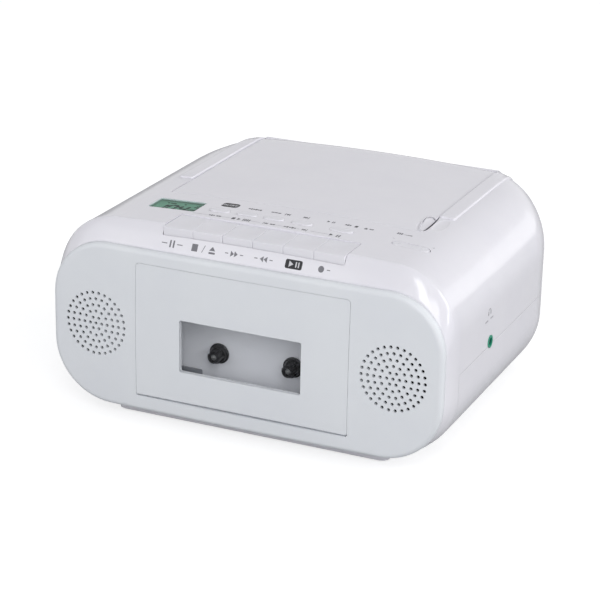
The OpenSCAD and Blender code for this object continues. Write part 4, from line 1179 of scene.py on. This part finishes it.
# ------------------------------------------------------------------ printed signs


def sign(kind, cx, cy, h):
    """Generic transport signs as polygons about a centre."""
    t = h / 2
    tri = lambda x, s=1: [(x - s * t * 0.8, -t), (x + s * t * 0.8, 0), (x - s * t * 0.8, t)]
    bar = lambda x, w: [(x - w / 2, -t), (x + w / 2, -t), (x + w / 2, t), (x - w / 2, t)]
    tri2 = lambda x, s=1: [(x - s * t * 0.55, -t * 0.8), (x + s * t * 0.55, 0), (x - s * t * 0.55, t * 0.8)]
    if kind == "pause":
        p = [bar(-t * 0.55, t * 0.5), bar(t * 0.55, t * 0.5)]
    elif kind == "stop":
        p = [bar(0, h * 0.95)]
    elif kind == "eject":
        p = [[(-t, -t * 0.15), (t, -t * 0.15), (0, t)], [(-t, -t), (t, -t), (t, -t * 0.5), (-t, -t * 0.5)]]
    elif kind == "forward":
        p = [tri2(-t * 0.6), tri2(t * 0.6)]
    elif kind == "rewind":
        p = [tri2(-t * 0.6, -1), tri2(t * 0.6, -1)]
    elif kind == "play":
        p = [tri(0)]
    elif kind == "record":
        p = [circle(0, 0, t * 0.9, 20)]
    elif kind == "next":
        p = [tri2(-t * 0.9), tri2(t * 0.1), bar(t * 0.95, t * 0.3)]
    elif kind == "back":
        p = [bar(-t * 0.95, t * 0.3), tri2(-t * 0.1, -1), tri2(t * 0.9, -1)]
    elif kind == "minus":
        p = [[(-t, -t * 0.16), (t, -t * 0.16), (t, t * 0.16), (-t, t * 0.16)]]
    elif kind == "plus":
        p = [[(-t, -t * 0.16), (t, -t * 0.16), (t, t * 0.16), (-t, t * 0.16)],
             [(-t * 0.16, t * 0.16), (t * 0.16, t * 0.16), (t * 0.16, t), (-t * 0.16, t)],
             [(-t * 0.16, -t), (t * 0.16, -t), (t * 0.16, -t * 0.16), (-t * 0.16, -t * 0.16)]]
    elif kind == "wedge":
        p = [[(-t * 2.4, -t * 0.5), (t * 2.4, -t * 0.5), (t * 2.4, t * 0.5)]]
    elif kind == "slash":
        p = [[(-t * 0.5, -t), (-t * 0.3, -t), (t * 0.5, t), (t * 0.3, t)]]
    elif kind == "bar_l":
        p = [[(-t * 0.9, -t * 0.12), (t * 0.9, -t * 0.12), (t * 0.9, t * 0.12), (-t * 0.9, t * 0.12)]]
    elif kind == "bar_s":
        p = [[(-t * 0.5, -t * 0.12), (t * 0.5, -t * 0.12), (t * 0.5, t * 0.12), (-t * 0.5, t * 0.12)]]
    elif kind == "dot":
        p = [circle(0, 0, t * 0.4, 12)]
    return [[(x + cx, y + cy) for x, y in q] for q in p]


def row_of(kind, a, b, y, h):
    """A row of small marks between a and b: dots, short dashes or upright bars."""
    out = []
    if kind == "dots":
        n = max(3, int((b - a) / 1.25))
        for k in range(n):
            x = a + (b - a) * (k + 0.5) / n
            w_ = (b - a) / n * (0.34 if k % 3 else 0.42)
            t = h / 2 * (1.0 if k % 2 else 0.6)
            out.append([(x - w_, y - t), (x + w_, y - t), (x + w_, y + t), (x - w_, y + t)])
    elif kind == "dash":
        n = max(2, int((b - a) / 1.9))
        for k in range(n):
            x = a + (b - a) * (k + 0.5) / n
            w_ = (b - a) / n * 0.42
            out.append([(x - w_, y - h * 0.28), (x + w_, y - h * 0.28), (x + w_, y + h * 0.28), (x - w_, y + h * 0.28)])
    else:
        n = max(3, int((b - a) / 1.1))
        for k in range(n):
            x = a + (b - a) * (k + 0.5) / n
            w_ = (b - a) / n * 0.3
            out.append([(x - w_, y - h / 2), (x + w_, y - h / 2), (x + w_, y + h / 2), (x - w_, y + h / 2)])
    return out


def text_polys(s, cx, cy, h):
    """Polygons of simple upright letters and digits drawn from strokes, for ON, OFF and numbers."""
    G = {"O": [((0, 0), (0, 1)), ((0, 1), (.62, 1)), ((.62, 1), (.62, 0)), ((.62, 0), (0, 0))],
         "N": [((0, 0), (0, 1)), ((0, 1), (.62, 0)), ((.62, 0), (.62, 1))],
         "F": [((0, 0), (0, 1)), ((0, 1), (.58, 1)), ((0, .52), (.5, .52))],
         "1": [((.3, 0), (.3, 1)), ((.08, .8), (.3, 1))],
         "2": [((0, 1), (.58, 1)), ((.58, 1), (.58, .52)), ((.58, .52), (0, .52)), ((0, .52), (0, 0)), ((0, 0), (.58, 0))],
         "/": [((0, -.05), (.42, 1.05))], "-": [((.05, .5), (.5, .5))], " ": []}
    adv = {"O": .9, "N": .9, "F": .82, "1": .6, "2": .85, "/": .66, "-": .75, " ": .5}
    width = sum(adv[c] for c in s) * h
    x = cx - width / 2
    out = []
    for c in s:
        for (a, b), (d, e) in G[c]:
            p, q = Vector((x + a * h, cy - h / 2 + b * h)), Vector((x + d * h, cy - h / 2 + e * h))
            u = (q - p).normalized() * h * 0.075
            w = Vector((-u.y, u.x))
            out.append([tuple(p - u - w), tuple(q + u - w), tuple(q + u + w), tuple(p - u + w)])
        x += adv[c] * h
    return out


def put_deck(x, y, lift):
    e = 0.3
    z = top_z(x, y)
    return (x, y, z + (0.03 if lift > 0 else -0.05))


def put_slope(x, y, lift):
    p = slope_pt(x, y)
    q = slope_pt(x, y + 0.2)
    d = (q - p).normalized()
    n = Vector((0, -d.z, d.y))
    return tuple(p + n * (0.03 if lift > 0 else -0.05))


def slope_map(poly, y0):
    """Signs on the slope: their height runs up the slope."""
    k = 0.53
    return [(x, y0 + y * k) for x, y in poly]


ink, ink_small, lines = [], [], []
SL = 6.25
for kinds, xc, gap in ((("bar_l", "pause", "bar_l"), -42.2, 4.4), (("stop", "slash", "eject"), -24.2, 5.0),
                       (("bar_s", "forward", "bar_s"), -6.8, 4.2), (("bar_s", "rewind", "bar_s"), 9.6, 4.2),
                       (("record", "bar_s"), 43.2, 4.0)):
    n = len(kinds)
    for j, k in enumerate(kinds):
        for p in sign(k, xc + (j - (n - 1) / 2) * gap, 0, 3.5):
            ink.append(slope_map(p, SL))
dark_slope = [slope_map(rrect(21.7, 30.9, -2.15, 2.15, 0.9, 5), SL)]
play_slope = [slope_map(p, SL) for p in sign("play", 24.9, 0, 2.9) + sign("pause", 28.3, 0, 2.6)]


def tall(polys, y0, k=1.4):
    """Small signs drawn a little taller, as print that is read from a low angle."""
    return [[(x, y0 + (y - y0) * k) for x, y in p] for p in polys]


# the upper row: sign, left end, right end, height
for k, a, b, h in (("dots", -20.6, -12.8, 1.3), ("dash", -7.5, -1.6, 1.3), ("back", -0.7, 4.8, 2.2), ("next", 10.1, 15.9, 2.4),
                   ("play", 24.4, 26.6, 1.8), ("pause", 27.0, 29.4, 1.7), ("dots", 34.7, 38.2, 1.5), ("stop", 39.5, 42.5, 1.7),
                   ("eject", 45.3, 47.6, 1.8), ("dash", 48.2, 50.6, 1.3)):
    if k in ("dots", "dash"):
        ink_small += row_of(k, a, b, 53.2, h * 1.5)
    else:
        ink_small += tall(sign(k, (a + b) / 2, 53.1, h), 53.1)
# the lower row, with the thin line that ties its groups together
for k, a, b, h in (("dots", -34.9, -31.2, 1.5), ("dash", -30.6, -27.7, 1.8), ("stop", -21.6, -19.6, 2.0), ("play", -18.6, -16.2, 2.2),
                   ("bars", -15.4, -11.0, 2.2), ("back", -4.7, -0.3, 2.0), ("dash", 0.2, 3.2, 1.6), ("dots", 7.9, 15.2, 1.3),
                   ("next", 17.2, 22.6, 2.2), ("play", 33.3, 36.0, 2.4), ("pause", 36.8, 40.2, 2.4)):
    if k in ("dots", "dash", "bars"):
        ink_small += row_of(k, a, b, 34.9, h * 1.4)
    else:
        ink_small += tall(sign(k, (a + b) / 2, 34.9, h), 34.9)
for a, b in ((-44.2, -35.4), (-27.2, -22.4), (-10.4, -5.4), (3.8, 7.4), (15.6, 16.8), (23.2, 32.6)):
    lines += [[(x0, 34.6), (x0 + (b - a) / 3 + 0.01, 34.6), (x0 + (b - a) / 3 + 0.01, 34.95), (x0, 34.95)]
              for x0 in (a, a + (b - a) / 3, a + 2 * (b - a) / 3)]
ink_small += row_of("bars", 62.6, 65.9, 55.6, 2.3) + sign("wedge", 68.6, 55.6, 2.0)
lines += sign("minus", 64.0, 47.4, 1.4) + sign("plus", 85.9, 47.4, 1.4)
deck_dark = [rrect(-36.3, -26.5, 51.0, 57.3, 2.2, 6)]
deck_white = text_polys("ON/OFF", -31.4, 54.15, 1.9)


def lifted(put, d):
    return lambda x, y, l: tuple(Vector(put(x, y, l)) + Vector((0, 0, d if l > 0 else 0)))


piece(flat_polys("pm", ink_small, put_deck), "deck_signs", "cabinet", M["ink_deck"], shade=None)
piece(flat_polys("pm", lines, put_deck), "deck_sign_lines", "cabinet", M["ink_line"], shade=None)
piece(flat_polys("pm", deck_dark, put_deck), "power_label_plate", "cabinet", M["ink_dark"], shade=None)
piece(flat_polys("pm", deck_white, lifted(put_deck, 0.02)), "power_label_signs", "cabinet", M["ink_white"], shade=None)
piece(flat_polys("pm", ink, put_slope), "key_signs", "cabinet", M["ink"], shade=None)
piece(flat_polys("pm", dark_slope, put_slope), "play_label_plate", "cabinet", M["ink_dark"], shade=None)
piece(flat_polys("pm", play_slope, lifted(put_slope, 0.02)), "play_label_sign", "cabinet", M["ink_white"], shade=None)


def phones_sign():
    """Headphone outline beside the socket."""
    polys = []
    a = arc(65.2, 19.0, 1.9, 0, 180, 14)
    b = arc(65.2, 19.0, 1.5, 180, 0, 14)
    polys.append(a + b)
    for s in (-1, 1):
        polys.append(rrect(65.2 + s * 1.7 - 0.5, 65.2 + s * 1.7 + 0.5, 17.3, 19.3, 0.3, 3))
    for y in (59.5, 61.0, 62.5, 67.4, 68.9, 70.4):
        polys.append(rrect(y - 0.3, y + 0.5, 14.2, 15.2, 0.15, 2))
    return flat_polys("ph", polys, lambda y, z, l: (111.6 + (0.03 if l > 0 else -0.05), y, z))


# the straight side ends at z 21, so the sign stays below it
piece(phones_sign(), "phones_sign", "cabinet", M["ink"], shade=None)

# ------------------------------------------------------------------ tape mechanism


def deck():
    plate = prism(split(rrect(-58, 58, -31, 43, 1.2, 4), 8), "y", 21.4, 22.6)
    cuts = [prism(circle(x, -12.6, 3.2, 40), "y", 10, 30) for x in (-21.25, 21.25)]
    cuts += [prism(circle(-31, 14, 1.25, 24), "y", 10, 30), prism(circle(33, 16, 5, 40), "y", 20, 24),
             prism(rrect(-13, 13, 16, 34, 1.5, 5), "y", 20, 24), prism(circle(-39.6, -27.4, 0.95, 24), "y", 20, 24)]
    cut(plate, cuts)
    parts = [plate]
    for x in (-21.25, 21.25):
        parts.append(turned("bush", [(1.55, 22.5), (3.0, 22.5), (3.0, 24.4), (1.55, 24.4)], "y", (x, 0, -12.6), 32))
    for s in (-1, 1):
        a, b = (56.8, 58) if s > 0 else (-58, -56.8)
        parts.append(prism(rrect(22.5, 34, -31, 43, 0.6, 3), "x", a, b))
        for z in (-24, 34):
            a, b = (57.9, 66.4) if s > 0 else (-66.4, -57.9)
            ear = prism(rrect(a, b, z - 3, z + 3, 1, 4), "y", 21.4, 22.6)
            cut(ear, [prism(circle(s * 63.5, z, 1.5, 24), "y", 20, 24)])
            parts.append(ear)
    parts.append(prism(rrect(-56.9, 56.9, 21.4, 31, 0.6, 3), "z", 43, 44.2))
    for x in (-27, 27):
        parts.append(turned("pin", [(0, 18.4), (1.3, 18.4), (1.5, 18.7), (1.5, 21.5), (0, 21.5)], "y", (x, 0, 33), 24))
    for x in (-44, 44):
        parts.append(turned("pin", [(0, 12.5), (0.6, 12.5), (1.4, 14.2), (1.4, 21.5), (0, 21.5)], "y", (x, 0, 20), 24))
    parts.append(turned("bush", [(1.25, 19), (2.6, 19), (3, 19.4), (3, 24.6), (1.25, 24.6)], "y", (-31, 0, 14), 32))
    return join("deck", parts)


piece(deck(), "tape_deck_plate", "cabinet", M["deck"], ("deck_plate",))


def spindle(x):
    z = -12.6
    parts = [turned("hub", [(0, 28), (1.5, 28), (1.5, 21.2), (5.4, 21.2), (5.6, 21.0), (5.6, 20.5), (5.3, 20.2), (4.7, 20.1),
                            (4.55, 18.2), (4.3, 17.9), (3.4, 17.8), (3.3, 14.2), (3.15, 13.3), (2.75, 12.86), (2.3, 12.8),
                            (2.05, 13.1), (1.95, 14.4), (0, 14.4)], "y", (x, 0, z), 56)]
    for a in range(0, 360, 60):
        # fin with a sloping leading edge
        b = prism([(2.8, 18.0), (4.2, 18.0), (4.2, 15.6), (3.35, 13.6), (2.8, 13.4)], "z", -0.5, 0.5)
        b.data.transform(Matrix.Translation((x, 0, z)) @ Matrix.Rotation(math.radians(a), 4, "Y"))
        parts.append(b)
    teeth = []
    n = 24
    for i in range(n):
        a0 = 360 / n * i
        for da, r in ((0, 8.2), (4.4, 8.2), (5.4, 8.9), (9.6, 8.9), (10.6, 8.2)):
            teeth.append((r * math.cos(math.radians(a0 + da)), r * math.sin(math.radians(a0 + da))))
    g = prism([(x + p, z + q) for p, q in teeth], "y", 24.7, 26.3)
    parts.append(g)
    parts.append(turned("gl", [(1.5, 24.5), (4, 24.5), (4.2, 24.7), (4.2, 26.4), (1.5, 26.6)], "y", (x, 0, z), 40))
    return join("sp", parts)


for s, b, node in ((1, "supply", "supply_spindle"), (-1, "takeup", "takeup_spindle")):
    piece(spindle(s * 21.25), node + "_hub", b, M["black"], (node,))
    t = turned("cap", [(0, 13.35), (0.5, 13.35), (0.8, 13.6), (0.85, 13.95), (1.5, 13.95), (1.5, 14.5), (0, 14.5)], "y",
               (s * 21.25, 0, -12.6), 32)
    piece(t, node + "_pin_ring", b, M["screw"])


def lever():
    o = prism(split(rrect(-46.4, -30.9, -29.8, -23.4, 0.9, 5), 3), "y", 19.62, 20.6)
    bev = o.modifiers.new("v", "BEVEL")
    bev.width, bev.segments, bev.limit_method, bev.angle_limit = 0.16, 2, "ANGLE", math.radians(50)
    bpy.context.view_layer.update()
    me = bpy.data.meshes.new_from_object(o.evaluated_get(bpy.context.evaluated_depsgraph_get()))
    o.modifiers.clear()
    o.data = me
    cut(o, [prism([(-38.9, -26.6), (-36.9, -26.6), (-37.9, -25.0)], "y", 19, 20.3)])
    stem = turned("stem", [(0, 20.4), (0.9, 20.4), (0.9, 24.2), (1.8, 24.3), (1.8, 25), (0, 25)], "y", (-39.6, 0, -27.4), 24)
    return join("lv", [o, stem])


piece(lever(), "sensing_lever_tab", "sensor", M["tab"], ("sensing_lever",))

# ------------------------------------------------------------------ rear


def battery_door():
    o = outer()
    b0 = base_of(o)
    blank = prism(split(rrect(-73.7, 73.7, -36.1, 14, 1.8, 6), 8), "y", 193.5, 215)
    cut(o, [blank], "INTERSECT")
    inner = cavity()
    inner.data.transform(Matrix.Translation((0, -0.2, 0)))
    b1 = base_of(inner)
    low = prism([(215, -30.5), (215, -40), (193, -40), (193, -30.5), (194.2, -30.5)] + arc(199.6, -30.5, 5.4, 180, 360, 20), "x", -80, 80)
    dish = ball(0, 208.6, 8.6, 5.6, 1.9, 1, 1, 64)
    b2 = base_of(dish)
    cuts = [inner, low, dish]
    for s in (-1, 1):
        cuts.append(box(44.4 if s > 0 else -50, 50 if s > 0 else -44.4, 190, 210, -40, -27.4))
    # shallow lines either side of the thumb recess
    for x in (-20, -17.6, 17.6, 20):
        cuts.append(prism(rrect(x - 0.5, x + 0.5, 4.6, 11.2, 0.4, 3), "y", 204.0, 206))
    cut(o, cuts)
    lend_normals(o, [b0, b1, b2])
    return o


piece(battery_door(), "battery_cover_face", "battery_door", M["cabinet"], ("battery_cover",), shade=None)


def battery_arms():
    parts = []
    for s in (-1, 1):
        a, b = (50, 54) if s > 0 else (-54, -50)
        parts.append(box(a, b, 198.4, 202.2, -32, -27))
        parts.append(turned("kn", [(0, a), (2, a), (2, b), (0, b)], "x", (0, 199.6, -30.5), 32))
        a, b = (45.4, 50.1) if s > 0 else (-50.1, -45.4)
        parts.append(turned("pin", [(0, a), (1, a), (1, b), (0, b)], "x", (0, 199.6, -30.5), 24))
    for x in (-48, -24, 0, 24, 48):
        parts.append(prism(rrect(x - 0.6, x + 0.6, -24, 4, 0.3, 2), "y", 200.2, 201.8))
    return join("ba", parts)


piece(battery_arms(), "battery_cover_hinge_arms", "battery_door", M["cabinet"])

# ------------------------------------------------------------------ CAD nodes that stay

KEEP = {
    "rubber_feet": "rubber", "cabinet_screws": "screw", "small_screws": "screw", "battery_tray": "inner",
    "battery_contacts": "bright", "ac_inlet": "black", "antenna_base": "black", "antenna_rod_outer": "bright",
    "antenna_rod_middle": "bright", "antenna_rod_tip": "bright", "cd_deck": "inner", "turntable": "black",
    "disc_motor": "core", "optical_pickup": "black", "pickup_rails": "bright", "sled_screw": "bright",
    "lcd_module": "board", "lcd_window": "lcd_glass", "key_shaft": "bright", "key_springs": "bright",
    "control_board": "board", "main_board": "board", "transformer": "core", "speaker_frames": "black",
    "speaker_cones": "cone", "headphone_jack": "black", "jack_ring": "green", "cassette_holder": "panel",
    "holder_springs": "bright", "door_spring": "bright", "capstan_flywheel": "bright", "motor_pulley": "brass",
    "tape_motor": "core", "drive_belt": "rubber", "head_plate": "plate", "tape_heads": "bright",
    "pinch_roller": "rubber",
}
for n, k in KEEP.items():
    o = CAD[n]
    if not o.data.materials:
        o.data.materials.append(M[k])
    for i in range(len(o.data.materials)):
        o.data.materials[i] = M[k]

# each key's spring is its own piece
for i, n in enumerate(("pause", "stop_eject", "forward", "rewind", "play", "record")):
    x = (2 + (i - 2.5) * 16.9) / 1000
    o = bpy.data.objects.new("spring_" + n, CAD["key_springs"].data.copy())
    COLL.objects.link(o)
    o.data.transform(CAD["key_springs"].matrix_world)
    bm = bmesh.new()
    bm.from_mesh(o.data)
    bmesh.ops.delete(bm, geom=[v for v in bm.verts if abs(v.co.x - x) > 0.008], context="VERTS")
    bm.to_mesh(o.data)
    bm.free()
    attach(o, "cabinet")
    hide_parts("key_springs")
    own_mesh(o)

# ------------------------------------------------------------------ stage, light, camera

fl = Nodes("floor_white")
fl.b.inputs["Base Color"].default_value = (0.47, 0.475, 0.48, 1)
fl.link(fl.ramp(fl.noise(8, 2), 0.3, 0.7, 0.6, 0.66), fl.b.inputs["Roughness"])
fl.b.inputs["Specular IOR Level"].default_value = 0.05
fl.b.inputs["Emission Color"].default_value = (1, 1, 1, 1)
lp = fl.add("ShaderNodeLightPath")
fl.link(fl.math("MULTIPLY", lp.outputs["Is Camera Ray"], 0.68), fl.b.inputs["Emission Strength"])
floor = mesh_obj("floor", [(-6, -6, 0), (6, -6, 0), (6, 6, 0), (-6, 6, 0)], [(0, 1, 2, 3)])
floor.data.materials.append(fl.m)

SKY = (0.86, 0.4)
w = bpy.data.worlds.new("studio")
SCN.world = w
w.use_nodes = True
nt = w.node_tree
bg = nt.nodes["Background"]
gen = nt.nodes.new("ShaderNodeTexCoord")
sep = nt.nodes.new("ShaderNodeSeparateXYZ")
mr = nt.nodes.new("ShaderNodeMapRange")
for key_, val in (("From Min", 0.0), ("From Max", 0.9), ("To Min", SKY[0]), ("To Max", SKY[1])):
    mr.inputs[key_].default_value = val
nt.links.new(gen.outputs["Generated"], sep.inputs[0])
nt.links.new(sep.outputs["Z"], mr.inputs["Value"])
nt.links.new(mr.outputs["Result"], bg.inputs["Strength"])
bg.inputs["Color"].default_value = (0.985, 0.985, 1.0, 1)


def area(name, at, to, size, power, color=(1, 1, 1)):
    d = bpy.data.lights.new(name, "AREA")
    d.shape = "RECTANGLE"
    d.size, d.size_y = size
    d.energy = power
    d.color = color
    o = bpy.data.objects.new(name, d)
    COLL.objects.link(o)
    o.location = at
    o.rotation_euler = (Vector(to) - Vector(at)).to_track_quat("-Z", "Y").to_euler()
    o.visible_camera = False
    return o


area("key", (1.4, -1.8, 1.0), (0, 0, 0.05), (1.5, 1.1), 17.5)
area("fill", (-1.5, -1.5, 0.9), (0, 0, 0.05), (1.8, 1.4), 6)
area("front_box", (0.58, -1.36, 1.4), (0, 0, 0.05), (0.42, 0.75), 5.2)
area("side", (1.7, 0.8, 1.0), (0, 0, 0.05), (1.2, 1.0), 13)
area("side_box", (1.94, 0.15, 0.45), (0, 0, 0.05), (0.3, 0.24), 1.6)
area("rear_strip", (1.12, 2.14, 0.40), (0, 0, 0.05), (1.1, 0.6), 1.25)

cam = bpy.data.cameras.new("camera")
cam.sensor_width = 36
cam.lens = 2131.08 * 36 / 600
cam.clip_start = 0.05
cam.clip_end = 50
co = bpy.data.objects.new("camera", cam)
COLL.objects.link(co)
X = Vector((0.9125847515078293, 0.408353492963561, 0.020892489077473625))
Y = -Vector((0.16188086543968955, -0.3139044729897077, -0.9355525464887319))
Z = -Vector((-0.37547790443632034, 0.857153082372987, -0.35256905232677005))
mw = Matrix((X, Y, Z)).transposed().to_4x4()
mw.translation = Vector((0.43298, -0.91219 + DY / 1000, 0.40899 + DZ / 1000))
co.matrix_world = mw
SCN.camera = co
SCN.view_settings.view_transform = "Standard"
SCN.view_settings.look = "None"
